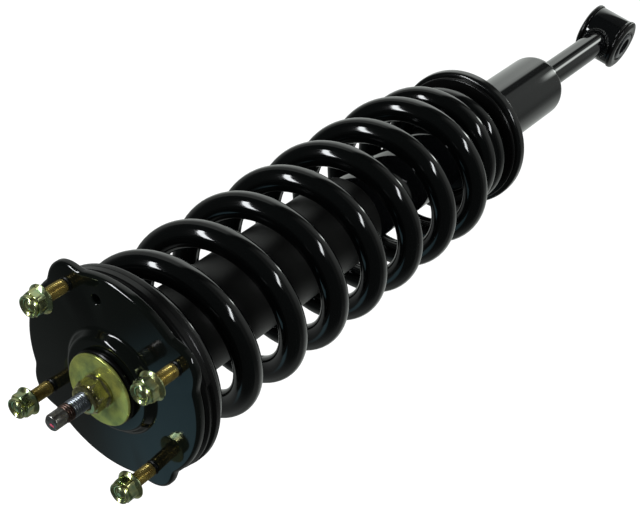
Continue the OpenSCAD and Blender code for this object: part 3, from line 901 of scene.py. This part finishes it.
@dataclass
class CoilSpring:
    """A right-hand spring of round wire, with a small closed lower end and a flat top turn.

    With t turns from the lower end, the wire's height rises by the closed pitch at first,
    eases into the main pitch and eases out of it over the last turn, and its radius grows
    from the small end turn to the full one.
    """

    box: Span = boxed("coil_spring")
    small_radius: float = 36.3
    start_angle: float = 242.7
    closed_pitch: float = 14.0
    main_pitch: float = 40.3
    end_pitch: float = 2.0
    rise_from: float = 0.35
    rise_to: float = 2.6
    grow_from: float = 0.9
    grow_to: float = 1.8
    open_turns: float = 5.9
    travel: float = 105.0
    rings_per_turn: int = 72
    sides: int = 40
    bevel: float = 0.9
    bevel_share: float = 0.09

    @staticmethod
    def gathered(x: Array) -> Array:
        """The running total of the S-shaped rise: x cubed less half x to the fourth."""
        held = np.clip(x, 0.0, 1.0)
        return held**3 - held**4 / 2 + np.maximum(x - 1.0, 0.0)

    @property
    def turns(self) -> float:
        """Turns from one end of the wire to the other."""
        return self.rise_to + self.open_turns + 1

    def heights(self, t: Array) -> Array:
        """Height of the wire's centre.

        Args:
            t: Turns from the lower end.

        Returns:
            One height for each.
        """
        ease = self.rise_to - self.rise_from
        steeper = (self.main_pitch - self.closed_pitch) * ease
        flatter = self.main_pitch - self.end_pitch
        risen = steeper * self.gathered((t - self.rise_from) / ease)
        lost = flatter * self.gathered(t - self.rise_to - self.open_turns)
        return self.box.bottom + WIRE + self.closed_pitch * t + risen - lost

    def path(self) -> Array:
        """The wire's centre line.

        Returns:
            Points along it, with close ones at both ends for the bevels.
        """
        t = np.linspace(0, self.turns, int(self.turns * self.rings_per_turn) + 1)
        turn_length = 2 * np.pi * self.small_radius
        nudge = np.array([0.15, 0.4, 0.7, 1.0]) * self.bevel / turn_length
        t = np.unique(np.concatenate([t, nudge, self.turns - nudge]))
        full = self.box.radius - WIRE
        grown = smooth((t - self.grow_from) / (self.grow_to - self.grow_from))
        radius = self.small_radius + (full - self.small_radius) * grown
        angle = np.radians(self.start_angle) + 2 * np.pi * t
        return placed(radius, self.heights(t), angle)

    def ends(self, points: Array) -> Array:
        """The wire's share of its full size: a quarter circle of bevel at both ends.

        Args:
            points: Points along the wire's centre.

        Returns:
            1 less the bevel's share times (1 less the root of (1 less (1 less x) squared)),
            with x the distance from the nearer end over the bevel's length.
        """
        step = np.linalg.norm(np.diff(points, axis=0), axis=1)
        run = np.concatenate([[0.0], np.cumsum(step)])
        x = np.clip(np.minimum(run, run[-1] - run) / self.bevel, 0, 1)
        return 1 - self.bevel_share * (1 - np.sqrt(np.clip(1 - (1 - x) ** 2, 0, 1)))

    def dress(self) -> Tree:
        """What lays round wire along the path, with capped, bevelled ends.

        Returns:
            The node group.
        """
        tree = bpy.data.node_groups.new("round_wire", "GeometryNodeTree")
        for way in ("INPUT", "OUTPUT"):
            tree.interface.new_socket("Geometry", in_out=way, socket_type="NodeSocketGeometry")
        line = add(tree, "GeometryNodeMeshToCurve", Mesh=add(tree, "NodeGroupInput"))
        number = {"data_type": "FLOAT"}
        share = add(tree, "GeometryNodeInputNamedAttribute", number, Name="wire_share")
        sized = add(tree, "GeometryNodeSetCurveRadius", Curve=line, Radius=share)
        circle = add(
            tree, "GeometryNodeCurvePrimitiveCircle", Resolution=self.sides, Radius=WIRE * MM
        )
        tube = add(
            tree, "GeometryNodeCurveToMesh", Curve=sized, Profile_Curve=circle, Fill_Caps=True
        )
        bend = add(tree, "GeometryNodeInputMeshEdgeAngle")
        more = {"data_type": "FLOAT", "operation": "GREATER_THAN"}
        sharp = add(tree, "FunctionNodeCompare", more, A=bend, B=math.radians(CREASE))
        soft = add(tree, "GeometryNodeSetShadeSmooth", Geometry=tube)
        edged = add(
            tree, "GeometryNodeSetShadeSmooth", {"domain": "EDGE"}, Geometry=soft, Selection=sharp,
            Shade_Smooth=False,
        )
        coat = POWDER_COAT.material
        coated = add(tree, "GeometryNodeSetMaterial", Geometry=edged, Material=coat)
        add(tree, "NodeGroupOutput", in0=coated)
        return tree

    def build(self) -> None:
        """Builds the wire as a line, with round wire laid on it."""
        points = self.path()
        mesh = bpy.data.meshes.new("coil_spring_wire")
        number = np.arange(len(points))
        edges = np.stack([number[:-1], number[1:]], axis=1)
        mesh.from_pydata((points * MM).tolist(), edges.tolist(), [])
        held = mesh.attributes.new("wire_share", "FLOAT", "POINT")
        held.data.foreach_set("value", self.ends(points).astype(np.float32))
        made = piece("coil_spring_wire", mesh, POWDER_COAT, Body.DAMPER, "coil_spring")
        made.modifiers.new("wire", "NODES").node_group = self.dress()
        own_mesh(made)


# ---- Rod, boot and their fastening ----


@dataclass
class RodEnd:
    """The rod, the boot on it, and the washer and nut that hold the mount."""

    rod: Span = boxed("piston_rod")
    boot: Span = boxed("dust_boot")
    washer: Span = boxed("upper_washer")
    nut: Span = boxed("rod_nut")
    piston: Span = boxed("piston")
    low_washer: Span = boxed("lower_washer")
    thread: float = 5.0
    rod_radius: float = 6.5
    tip_length: float = 8.6
    tip_radius: float = 4.7
    flat_depth: float = 0.9
    pitch: float = 1.5
    stained_turns: int = 2
    mark_height: float = 0.08
    mark_size: Corner = (0.75, 1.5, 1.0)
    mark_place: Corner = (-0.5, -0.9, 0.0)
    boot_wall: float = 1.5
    boot_neck: float = 12.5
    washer_thick: float = 1.6
    flats: float = 17.0
    nut_turn: float = 26.0
    crown_radius: float = 8.3
    crown_height: float = 2.2

    @property
    def shoulder(self) -> float:
        """Height of the rod's shoulder under the lower washer."""
        return self.low_washer.bottom - GAP

    def build_boot(self) -> None:
        """The plain tubular boot, open below, with a round shoulder and a hooked neck."""
        outer, low, high = self.boot.radius, self.boot.bottom, self.boot.top
        wall, neck = self.boot_wall, self.boot_neck
        corners = [
            (neck, high - wall, 0.3), (outer - wall, high - wall, 4.5), (outer - wall, low, 0.5),
            (outer, low, 0.5), (outer, high, 6.0), (neck, high, 0.3),
        ]
        piece("dust_boot_moulded", turned(corners, 10), BOOT_PLASTIC, Body.ROD, "dust_boot")

    def build_rod(self) -> None:
        """The polished rod between its two shoulders."""
        radius, low, high = self.rod_radius, self.piston.top, self.shoulder
        corners = [(0.0, low, 0.0), (radius, low, 0.3), (radius, high, 0.5), (0.0, high, 0.0)]
        rod = turned(corners, 5, 96)
        piece("piston_rod_polished", rod, HARD_CHROME, Body.ROD, "piston_rod")

    def build_threads(self) -> None:
        """The threaded ends: one through the piston, one up through the mount."""
        low, high, pitch = self.shoulder, self.rod.top - self.tip_length, self.pitch
        change = low + (int((high - low) / pitch) - self.stained_turns) * pitch
        for name, finish, foot, tip, cut, run_in in (
            ("upper", PHOSPHATE, low, change, 0.0, 3.0),
            ("end", STAINED, change, high + 0.4, 0.8, 0.01),
            ("piston", PHOSPHATE, self.rod.bottom, self.piston.top, 0.1, 1.2),
        ):
            thread = screw_thread(self.thread, pitch, foot, tip, cut, run_in)
            piece(f"rod_thread_{name}", thread, finish, Body.ROD)

    def build_tip(self) -> None:
        """The tip with two flats: the radius is cut where the section passes the flats.

        At an angle the flat lies at the cut's distance over the sine of the angle, and the
        tip takes whichever is nearer the axis.
        """
        radius, high = self.tip_radius, self.rod.top - self.mark_height
        low = high - self.tip_length
        ends = rounded(
            [(0.0, low, 0.0), (radius, low, 0.2), (radius, high, 0.9), (0.0, high, 0.0)], 6
        )
        wall = np.stack([np.full(8, radius), np.linspace(low + 0.5, high - 1.0, 8)], axis=1)
        below, above = ends[ends[:, 1] < low + 0.3], ends[ends[:, 1] > high - 0.95]
        rows = np.concatenate([below, wall, above])
        angle = round_angles(96)[None, :]
        cut = (radius - self.flat_depth) / np.maximum(np.abs(np.sin(angle)), 1e-3)
        tip = woven(placed(np.minimum(rows[:, :1], cut), rows[:, 1:], angle), loop=False)
        piece("rod_tip_flatted", tip, ROD_TIP, Body.ROD, crease=25.0)

    def build_mark(self) -> None:
        """A dab of paint on the end face: an oval whose edge wanders by small waves."""
        angle = round_angles(48)
        away = 1 + 0.16 * np.sin(3 * angle + 0.4) + 0.10 * np.sin(5 * angle)
        rows = np.array([(0.0, -0.3), (1.0, -0.3), (1.0, -0.03), (0.9, 0.0), (0.0, 0.0)])
        grid = placed(rows[:, :1] * away, self.rod.top + rows[:, 1:], angle[None])
        grid = grid * np.array(self.mark_size) + np.array(self.mark_place)
        piece("rod_end_mark", woven(grid, loop=False), MARK_PAINT, Body.ROD)

    def build_washer(self) -> None:
        """The dished washer: flat in the middle, its rim pressed up and rounded."""
        hole, outer, knee = self.thread + GAP, self.washer.radius, self.nut.radius + 1.0
        low, thick = self.washer.bottom, self.washer_thick
        rim = self.washer.top - thick
        corners = [
            (hole, low, 0.2), (knee, low, 6.0), (outer, rim, 0.5), (outer, rim + thick, 0.7),
            (knee, low + thick, 6.0), (hole, low + thick, 0.2),
        ]
        washer = turned(corners, 8)
        piece("washer_upper_dished", washer, WASHER_CHROMATE, Body.ROD, "upper_washer")

    def build_nut(self) -> None:
        """The lock nut: a turned foot collar, chamfered hexagon and a round crown."""
        low, high, half = self.nut.bottom, self.nut.top, self.flats / 2
        hole, corner, collar = self.thread + GAP, self.flats / math.sqrt(3), self.nut.radius
        crown, base = self.crown_radius, high - self.crown_height
        rows = [
            (hole, low + 0.4, 0.0), (hole + 0.5, low, 0.0), (collar - 0.3, low, collar - 0.3),
            (collar, low + 0.3, collar), (collar, low + 1.3, collar),
            (collar - 0.25, low + 1.7, collar - 0.25), (collar - 0.9, low + 2.0, collar - 0.9),
            (corner, low + 2.2, 0.0), (corner, base - 1.0, 0.0), (half + 0.7, base - 0.5, 0.0),
            (half + 0.1, base - 0.15, 0.0), (crown - 0.6, base, 0.0),
            (crown - 0.6, base + 0.3, 0.0), (crown, base + 0.8, 0.0), (crown, high - 0.9, 0.0),
            (crown - 0.35, high - 0.25, 0.0), (crown - 1.1, high, 0.0), (hole + 0.9, high, 0.0),
            (hole, high - 0.8, 0.0),
        ]
        nut = nut_shape(self.flats, rows).spun(self.nut_turn)
        piece("rod_nut_lock", nut, PALE_ZINC, Body.ROD, "rod_nut", crease=28.0)

    def build(self) -> None:
        """Builds the rod, the boot, the washer and the nut."""
        self.build_boot()
        self.build_rod()
        self.build_threads()
        self.build_tip()
        self.build_mark()
        self.build_washer()
        self.build_nut()


# ---- Top mount ----


@dataclass
class TopMount:
    """The pressed plate with its studs, nuts, cushion and rubber insulator."""

    plate: Span = boxed("mount_plate")
    studs: Span = boxed("mount_studs")
    nuts: Span = boxed("stud_nuts")
    cushion: Span = boxed("upper_cushion")
    insulator: Span = boxed("upper_insulator")
    spring: Span = boxed("coil_spring")
    thick: float = 3.2
    skirt_wall: float = 2.4
    lobe_reach: float = 6.0
    lobe_radius: float = 13.8
    skirt: float = 4.8
    round_margin: float = 4.0
    bend_margin: float = 6.0
    boss_height: float = 5.0
    boss_radius: float = 31.8
    boss_top_radius: float = 26.0
    boss_hole: float = 13.0
    cushion_bore: float = 8.3
    drain_radius: float = 2.8
    drain_angle: float = 23.0
    drain_share: float = 0.8
    flange_radius: float = 8.5
    head_radius: float = 6.3
    crown_radius: float = 6.2
    crown_height: float = 2.4
    nut_turns: tuple[float, ...] = (12.0, 31.0, 47.0, 3.0)
    painted: float = 1.0
    flats: float = 13.0
    thread: float = 4.0
    pitch: float = 1.25
    band_from: float = 301.0
    band_to: float = 420.0

    @cached_property
    def middle(self) -> Array:
        """The middle of the stud pattern and of the plate, a little off the rod's axis."""
        return np.array([*(self.studs.low[:2] + self.studs.high[:2]) / 2, 0.0])

    @cached_property
    def stud_ways(self) -> Array:
        """From that middle to each stud: half the studs' box less the radius of a head."""
        half = (self.studs.high[:2] - self.studs.low[:2]) / 2 - self.head_radius
        return np.array([(i, j) for i in (-1, 1) for j in (-1, 1)]) * half

    @property
    def deck(self) -> float:
        """Height of the plate's flat top."""
        return self.plate.top - self.boss_height

    def edge(self, angle: Array) -> Array:
        """Distance from the stud pattern's middle to the plate's edge.

        It is the smooth maximum (a mean with the power 26) of the plate's circle and of a
        lobe's circle round each stud's direction, where the ray at that angle leaves it.

        Args:
            angle: Angles round that middle, in radians.

        Returns:
            One distance for each angle.
        """
        disc, power = self.plate.radius, 26
        centre = disc + self.lobe_reach - self.lobe_radius
        stud = np.arctan2(self.stud_ways[:, 1], self.stud_ways[:, 0])
        turn = (angle[..., None] - stud + np.pi) % (2 * np.pi) - np.pi
        across = centre * np.sin(turn)
        inside = (np.abs(across) < self.lobe_radius) & (np.abs(turn) < np.pi / 3)
        chord = np.sqrt(np.clip(self.lobe_radius**2 - across**2, 0, None))
        lobe = np.where(inside, centre * np.cos(turn) + chord, 0.0).max(axis=-1)
        return (disc**power + lobe**power) ** (1 / power) - GAP

    def build_plate(self) -> None:
        """The pressed plate: boss, flat, lobes, and an edge bent down.

        Each ring of the section at radius u is stretched outwards by (edge distance less the
        disc's radius), and shifted to the stud pattern's middle, times an S-shaped rise
        that starts outside the boss and is full at the bend.
        """
        disc, deck, top, thick = self.plate.radius, self.deck, self.plate.top, self.thick
        hem, inside = deck - self.skirt, disc - self.skirt_wall
        corners = [
            (self.boss_hole, top - thick, 0.4), (self.boss_top_radius - 0.5, top - thick, 2.0),
            (self.boss_radius - 1.5, deck - thick, 2.5), (inside, deck - thick, 0.8),
            (inside, hem, 0.4), (disc, hem, 0.6), (disc, deck, 3.1),
            (self.boss_radius - 0.5, deck, 2.6), (self.boss_top_radius + 1.9, top, 2.8),
            (self.boss_hole, top, 0.7),
        ]
        section = rounded(corners, 10)
        reach, height = section[:, :1], section[:, 1:]
        angle = round_angles(360)[None, :]
        start = self.boss_radius + self.round_margin
        full = smooth((reach - start) / (disc - self.bend_margin - start))
        radius = reach + full * (self.edge(angle) - disc)
        plate = woven(placed(radius, height, angle) + full[..., None] * self.middle)
        made = piece("mount_plate_pressed", plate, DIP_COAT, Body.MOUNT, "mount_plate")
        drill(made, self.drain_hole())

    def drain_hole(self) -> Shape:
        """What the drain hole takes out of the plate.

        Returns:
            A round rod that flares at the top.
        """
        hole, low, deck = self.drain_radius, self.deck - self.thick - 2, self.deck
        corners = [
            (0.0, low, 0.0), (hole, low, 0.0), (hole, deck - 0.5, 1.0),
            (hole + 0.9, deck + 0.3, 0.0), (0.0, deck + 0.3, 0.0),
        ]
        away, turn = self.plate.radius * self.drain_share, math.radians(self.drain_angle)
        return turned(corners, 8, 48).moved(away * math.cos(turn), away * math.sin(turn))

    def build_studs(self) -> None:
        """Four studs: painted head and foot, and a plated thread with a round shoulder."""
        low, high, deck = self.studs.bottom, self.studs.top, self.deck
        under, change = deck - self.thick - GAP, deck + self.painted
        thread, head, shank = self.thread, self.head_radius, self.thread + 0.4
        foot = [
            (0.0, low, 0.0), (head, low, 0.3), (head, under, 0.2), (shank, under, 0.1),
            (shank, deck + 0.1, 0.3), (thread - 0.25, deck + 0.6, 0.3),
            (thread - 0.25, change + 0.3, 0.1), (0.0, change + 0.3, 0.0),
        ]
        shoulder = [
            (0.0, change, 0.0), (thread - 0.1, change, 1.0), (thread - 0.05, change + 2.4, 0.3),
            (0.0, change + 2.4, 0.0),
        ]
        dome = [
            (0.0, high - 2.6, 0.0), (thread - 0.4, high - 2.6, 0.0),
            (thread - 0.4, high - 1.1, 1.2), (1.3, high, 3.0), (0.0, high, 0.0),
        ]
        screw = screw_thread(thread, self.pitch, change + 1.7, high - 1.6, tip=0.5)
        plated = joined([turned(shoulder, 6, 48), screw])
        self.on_studs("mount_stud_feet_painted", [turned(foot, 4, 48)] * 4, FOOT_PAINT)
        self.on_studs("mount_studs_threaded", [plated] * 4, BRONZE_CHROMATE, "mount_studs")
        self.on_studs("mount_stud_ends_domed", [turned(dome, 8, 48)] * 4, YELLOW_CHROMATE)

    def on_studs(
        self, name: str, shapes: list[Shape], finish: Finish, *nodes: str, crease: float = CREASE
    ) -> None:
        """Makes one piece of four surfaces, one on each stud's axis.

        Args:
            name: The piece's name.
            shapes: The four surfaces, drawn on the rod's axis.
            finish: What it is finished with.
            *nodes: The CAD nodes that it stands for.
            crease: Degrees between faces above which an edge shows.
        """
        places = (self.middle[:2] + self.stud_ways).tolist()
        set_out = joined([shape.moved(x, y) for shape, (x, y) in zip(shapes, places)])
        piece(name, set_out, finish, Body.MOUNT, *nodes, crease=crease)

    def build_nuts(self) -> None:
        """Four flange nuts: thin disc flange, cone, hexagon, groove and a ring-shaped crown."""
        low, high, half = self.nuts.bottom, self.nuts.top, self.flats / 2
        bore, corner, flange = self.thread - 0.3, self.flats / math.sqrt(3), self.flange_radius
        crown, base = self.crown_radius, high - self.crown_height
        rows = [
            (bore, low + 0.6, 0.0), (bore + 0.8, low, 0.0), (flange - 0.35, low, flange - 0.35),
            (flange, low + 0.35, flange), (flange, low + 0.9, flange),
            (flange - 0.3, low + 1.25, flange - 0.3), (half + 1.2, low + 1.7, half + 1.2),
            (half + 0.9, low + 2.3, half + 0.5), (corner, low + 2.5, 0.0),
            (corner, base - 0.9, 0.0), (half + 0.45, base - 0.45, 0.0),
            (half - 0.1, base - 0.15, 0.0), (crown - 0.45, base, 0.0),
            (crown - 0.45, base + 0.2, 0.0), (crown, base + 0.5, 0.0), (crown, high - 0.6, 0.0),
            (crown - 0.2, high - 0.18, 0.0), (crown - 0.5, high, 0.0),
            (crown - 0.85, high - 0.1, 0.0), (crown - 1.1, high - 0.45, 0.0),
            (bore + 0.5, high - 1.15, 0.0), (bore, high - 1.2, 0.0),
        ]
        nut = nut_shape(self.flats, rows)
        nuts = [nut.spun(turn) for turn in self.nut_turns]
        self.on_studs("stud_nuts_flanged", nuts, YELLOW_CHROMATE, "stud_nuts", crease=28.0)

    def build_cushion(self) -> None:
        """The rubber cushion on the boss, squeezed thin, with a neck down into its hole."""
        inner, outer, neck = self.cushion_bore, self.cushion.radius, self.boss_hole - GAP
        low, high, deck = self.cushion.bottom, self.cushion.top, self.plate.top + GAP
        corners = [
            (inner, low, 0.4), (neck, low, 0.4), (neck, deck, 0.3), (outer - 0.9, deck, 0.6),
            (outer, deck + 0.8, 0.7), (outer, high - 0.8, 0.7), (outer - 0.9, high, 0.6),
            (inner, high, 0.4),
        ]
        piece("cushion_upper_rubber", turned(corners), RUBBER, Body.MOUNT, "upper_cushion")

    def build_insulator(self) -> None:
        """The rubber ring between the seat and the spring, with its ribbed rim.

        Over part of the round the rim's groove is filled out to a broad smooth band: the
        groove's rows move out to the rim by a share that rises from 0 to 1 with the angle.
        """
        face, high = self.spring.top + 0.2, self.insulator.top
        mean, half = self.spring.radius - WIRE, WIRE + 0.8
        lip, wall, rim = mean - half, mean + half, self.insulator.radius
        corners = [
            (lip - 2.4, high, 0.4), (lip - 2.4, face - 4.0, 0.6), (lip - 0.8, face - 5.0, 0.8),
            (lip, face - 4.0, 0.4), (lip, face, 0.8), (wall, face, 0.8), (wall, face - 7.0, 0.4),
            (rim - 0.7, face - 8.0, 0.9), (rim, face - 6.8, 1.0), (rim, face - 3.4, 1.0),
            (rim - 1.8, face - 2.5, 0.5), (rim - 1.8, face - 1.3, 0.5),
            (rim - 0.8, face - 0.5, 0.4), (rim - 0.8, face + 0.9, 0.6), (rim - 2.0, high, 0.5),
        ]
        section = rounded(corners, 6)
        reach, height = section[:, :1], section[:, 1:]
        angle = round_angles(360)
        turn = (np.degrees(angle) - self.band_from) % 360
        width = self.band_to - self.band_from
        share = smooth(turn / 2.0) * (1 - smooth((turn - width) / 2.0))
        groove = (height > face - 3.6) & (height < face + 0.6) & (reach > wall + 1.0)
        filled = reach + np.where(groove, rim - 0.15 - reach, 0.0) * share
        ring = woven(placed(filled, height, angle[None]))
        piece("insulator_rubber", ring, RUBBER, Body.MOUNT, "upper_insulator")

    def build(self) -> None:
        """Builds every piece of the mount that shows."""
        self.build_plate()
        self.build_studs()
        self.build_nuts()
        self.build_cushion()
        self.build_insulator()


# ---- Inner solids ----


INNER_FINISHES = (
    (BARE_STEEL, ("base_valve", "pressure_tube", "rod_guide", "piston", "piston_nut", "spacer_sleeve")),
    (SATIN_DIP, ("striker_cap", "lower_washer", "upper_spring_seat")),
    (RUBBER, ("oil_seal", "rebound_stop", "lower_cushion")),
    (BAND_PLASTIC, ("piston_band",)),
    (FOAM, ("bump_stop",)),
)


def dress_inner_solids() -> None:
    """Gives every CAD solid that stays its real finish."""
    for finish, nodes in INNER_FINISHES:
        for node in nodes:
            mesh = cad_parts[node].data
            mesh.materials.clear()
            mesh.materials.append(finish.material)
            LOG.info("%s dressed as %s", node, finish.name)


# ---- Studio ----


@dataclass(frozen=True)
class Lamp:
    """A soft box: the way to it, the way its long side runs, and its sizes and light."""

    name: str
    way: Corner
    long_way: Corner
    away: float
    wide: float
    tall: float
    watts: float
    colour: Corner = (0.95, 0.98, 1.0)

    def build(self, aim: Corner) -> None:
        """Makes the lamp.

        Args:
            aim: The point that it stands round and shines at.
        """
        data = bpy.data.lights.new(self.name, "AREA")
        data.shape, data.size, data.size_y = "RECTANGLE", self.wide, self.tall
        data.energy, data.color = self.watts, self.colour
        back = Vector(self.way).normalized()
        side = Vector(self.long_way).cross(back).normalized()
        turn = Matrix((side, back.cross(side), back)).transposed().to_4x4()
        made = in_scene(self.name, data)
        made.matrix_world = Matrix.Translation(Vector(aim) + back * self.away) @ turn


@dataclass(frozen=True)
class Glow:
    """A soft bright part of the room: the way to it, where it fades in, and its light."""

    way: Corner
    fades_from: float
    full_at: float
    light: float
    colour: Corner = (0.95, 1.0, 0.97)


def chosen(tree: Tree, ray: object, plain: Node, other: Node) -> Node:
    """One shader for most rays, and another for the rays that a test picks out."""
    return add(tree, "ShaderNodeMixShader", in0=ray, in1=plain, in2=other)


def summed(tree: Tree, one: Node, other: Node) -> Node:
    """The light of two shaders together."""
    return add(tree, "ShaderNodeAddShader", in0=one, in1=other)


def along(tree: Tree, place: Socket, way: Corner) -> Socket:
    """How far a point or a direction reaches along a way: their dot product."""
    dot = {"operation": "DOT_PRODUCT"}
    return add(tree, "ShaderNodeVectorMath", dot, in0=place, in1=way).outputs["Value"]


def distance(tree: Tree, place: Socket) -> Socket:
    """How far a point lies from the middle of the floor."""
    length = {"operation": "LENGTH"}
    return add(tree, "ShaderNodeVectorMath", length, in0=place).outputs["Value"]


@dataclass
class Studio:
    """Camera, pale floor with a painted glow for mirrors, white surround, two soft boxes and a dark
    room for mirrors.

    Its places and sizes are metres.
    """

    eye: Corner = (0.503233, -0.272531, 0.966392)
    right: Corner = (0.229457, -0.775577, -0.588072)
    up: Corner = (0.730044, 0.536738, -0.423023)
    ahead: Corner = (-0.643728, 0.332253, -0.689364)
    lens: float = 71.8406
    sensor: float = 36.0
    aim: Corner = (0.0, 0.0, 0.33)
    floor_height: float = -0.16
    floor_half: float = 6.0
    fill: float = 0.45
    room: float = 0.04
    lamps: tuple[Lamp, ...] = (
        Lamp("softbox_above", (0.34, 0.50, 0.80), (0.67, 0.45, -0.57), 1.8, 0.19, 1.20, 16),
        Lamp("softbox_beside", (0.72, -0.69, 0.0), (0.24, 0.25, -0.72), 1.6, 0.16, 0.95, 9),
    )
    glows: tuple[Glow, ...] = (
        Glow((-0.644, 0.332, -0.689), 0.1, 0.7, 0.22),
        Glow((-0.781, 0.200, 0.591), 0.968, 0.993, 0.30, (0.50, 1.0, 1.22)),
    )
    # The floor's painted glow for mirrors: a sweep round the back and a bright line in front.
    sweep_way: Corner = (-0.888, 0.458, 0.0)
    sweep_side: Corner = (0.458, 0.888, 0.0)
    sweep_most: float = 2.0
    sweep_far: float = 0.3
    sweep_fades: tuple[float, float] = (0.55, 1.4)
    # Degrees round the strut, and the floor's painted glow there.
    sweep: tuple[tuple[float, float], ...] = (
        (-180, 0.45), (-163, 0.42), (-135, 0.36), (-112, 0.22), (-100, 0.30), (-88, 0.46),
        (-64, 0.60), (-38, 0.63), (-15, 0.55), (20, 0.65), (52, 0.93), (90, 1.20), (114, 1.70),
        (125, 1.50), (131, 0.10), (150, 0.08), (156, 0.40), (180, 0.45),
    )
    line_light: float = 6.5
    line_turns: tuple[float, float] = (math.radians(165), math.radians(178))
    line_ends: tuple[float, float] = (0.243, 0.268)
    white_fades: tuple[float, float] = (0.4, 1.6)
    white_near: float = 0.82

    def build_camera(self) -> None:
        """The camera, from its place and its three axes."""
        data = bpy.data.cameras.new("camera")
        data.lens, data.sensor_width, data.sensor_fit = self.lens, self.sensor, "HORIZONTAL"
        data.clip_start, data.clip_end = 0.01, 50.0
        made = in_scene("camera", data)
        turn = Matrix((self.right, self.up, tuple(-v for v in self.ahead))).transposed()
        made.matrix_world = Matrix.Translation(self.eye) @ turn.to_4x4()
        bpy.context.scene.camera = made

    def build_world(self) -> None:
        """White where the camera sees it, soft fill, and a dark room with glows for mirrors."""
        world = bpy.data.worlds.new("surround")
        world.use_nodes = True
        bpy.context.scene.world = world
        tree = world.node_tree
        tree.nodes.clear()
        ray = add(tree, "ShaderNodeLightPath")
        fill = add(tree, "ShaderNodeBackground", Color=(1, 1, 1, 1), Strength=self.fill)
        white = add(tree, "ShaderNodeBackground", Color=(1, 1, 1, 1), Strength=1.0)
        way = add(tree, "ShaderNodeTexCoord").outputs["Generated"]
        room = add(tree, "ShaderNodeBackground", Color=(0.9, 1, 0.98, 1), Strength=self.room)
        for glow in self.glows:
            reach, near = along(tree, way, glow.way), (glow.fades_from, glow.full_at)
            part = ranged(tree, reach, *near, 0.0, glow.light)
            lit = add(tree, "ShaderNodeBackground", Color=(*glow.colour, 1), Strength=part)
            room = summed(tree, room, lit)
        first = chosen(tree, ray.outputs["Is Glossy Ray"], fill, room)
        straight = ray.outputs["Is Camera Ray"], ray.outputs["Is Transmission Ray"]
        both = chosen(tree, worked(tree, "MAXIMUM", *straight), first, white)
        add(tree, "ShaderNodeOutputWorld", Surface=both)

    def painted_floor_glow(self, tree: Tree, place: Socket) -> Node:
        """Painted reflection light: the floor's glow that only mirrors see, by the angle round the
        strut.

        The angle is 0 on the way behind the strut and 90 degrees on its light side. A
        white sweep runs round the back and fades with distance, a dark gap ends it, and a
        short bright line lies in front.

        Args:
            tree: The floor's node tree.
            place: The point on the floor.

        Returns:
            The light's strength.
        """
        sides = (along(tree, place, way) for way in (self.sweep_side, self.sweep_way))
        turn = worked(tree, "ARCTAN2", *sides)
        share = ranged(tree, turn, -math.pi, math.pi, 0.0, 1.0, Change.STRAIGHT)
        ramp = add(tree, "ShaderNodeValToRGB", Fac=share)
        stops = ramp.color_ramp.elements
        while len(stops) < len(self.sweep):
            stops.new(0.5)
        for stop, (angle, light) in zip(stops, self.sweep):
            part = light / self.sweep_most
            stop.position, stop.color = (angle + 180) / 360, (part, part, part, 1)
        away, most = distance(tree, place), self.sweep_most
        near = ranged(tree, away, *self.sweep_fades, most, self.sweep_far * most)
        broad = worked(tree, "MULTIPLY", ramp, near)
        front = ranged(tree, worked(tree, "ABSOLUTE", turn), *self.line_turns, 0.0, 1.0)
        light = ranged(tree, away, *self.line_ends, self.line_light, 0.0)
        return worked(tree, "ADD", broad, worked(tree, "MULTIPLY", front, light))

    def build_floor(self) -> None:
        """A pale floor: white to the camera with the strut's soft shadow kept on it, and a painted glow
        for mirrors.
        """
        half, z = self.floor_half, self.floor_height
        mesh = bpy.data.meshes.new("floor")
        corners = [(-half, -half, z), (half, -half, z), (half, half, z), (-half, half, z)]
        mesh.from_pydata(corners, [], [(0, 1, 2, 3)])
        made = in_scene("floor", mesh)
        skin = bpy.data.materials.new("floor_white_with_painted_glow")
        skin.use_nodes = True
        tree = skin.node_tree
        tree.nodes.clear()
        ray = add(tree, "ShaderNodeLightPath")
        place = add(tree, "ShaderNodeTexCoord").outputs["Object"]
        paint = add(tree, "ShaderNodeBsdfDiffuse", Color=linear("#f0f0f0"))
        away = distance(tree, place)
        near = ranged(tree, away, *self.white_fades, self.white_near, 1.0)
        bright = add(tree, "ShaderNodeEmission", Strength=near)
        thin = add(tree, "ShaderNodeBsdfDiffuse", Color=linear("#a0a0a0"))
        light = self.painted_floor_glow(tree, place)
        # Painted reflection: the floor glows for glossy rays only, though it is no lamp.
        painted_glow = add(tree, "ShaderNodeEmission", Color=(0.95, 1, 0.96, 1), Strength=light)
        first = chosen(tree, ray.outputs["Is Glossy Ray"], paint, painted_glow)
        both = chosen(tree, ray.outputs["Is Camera Ray"], first, summed(tree, bright, thin))
        add(tree, "ShaderNodeOutputMaterial", Surface=both)
        mesh.materials.append(skin)

    def build(self) -> None:
        """Builds the studio."""
        bpy.context.scene.view_settings.view_transform = "Standard"
        self.build_camera()
        self.build_world()
        self.build_floor()
        for lamp in self.lamps:
            lamp.build(self.aim)


def main() -> None:
    """Builds the strut from its foot up, then the studio."""
    logging.basicConfig(level=logging.INFO, format="%(name)s: %(message)s")
    LowerEye().build()
    Damper().build()
    CoilSpring().build()
    RodEnd().build()
    TopMount().build()
    dress_inner_solids()
    Studio().build()


if __name__ == "__main__":
    main()
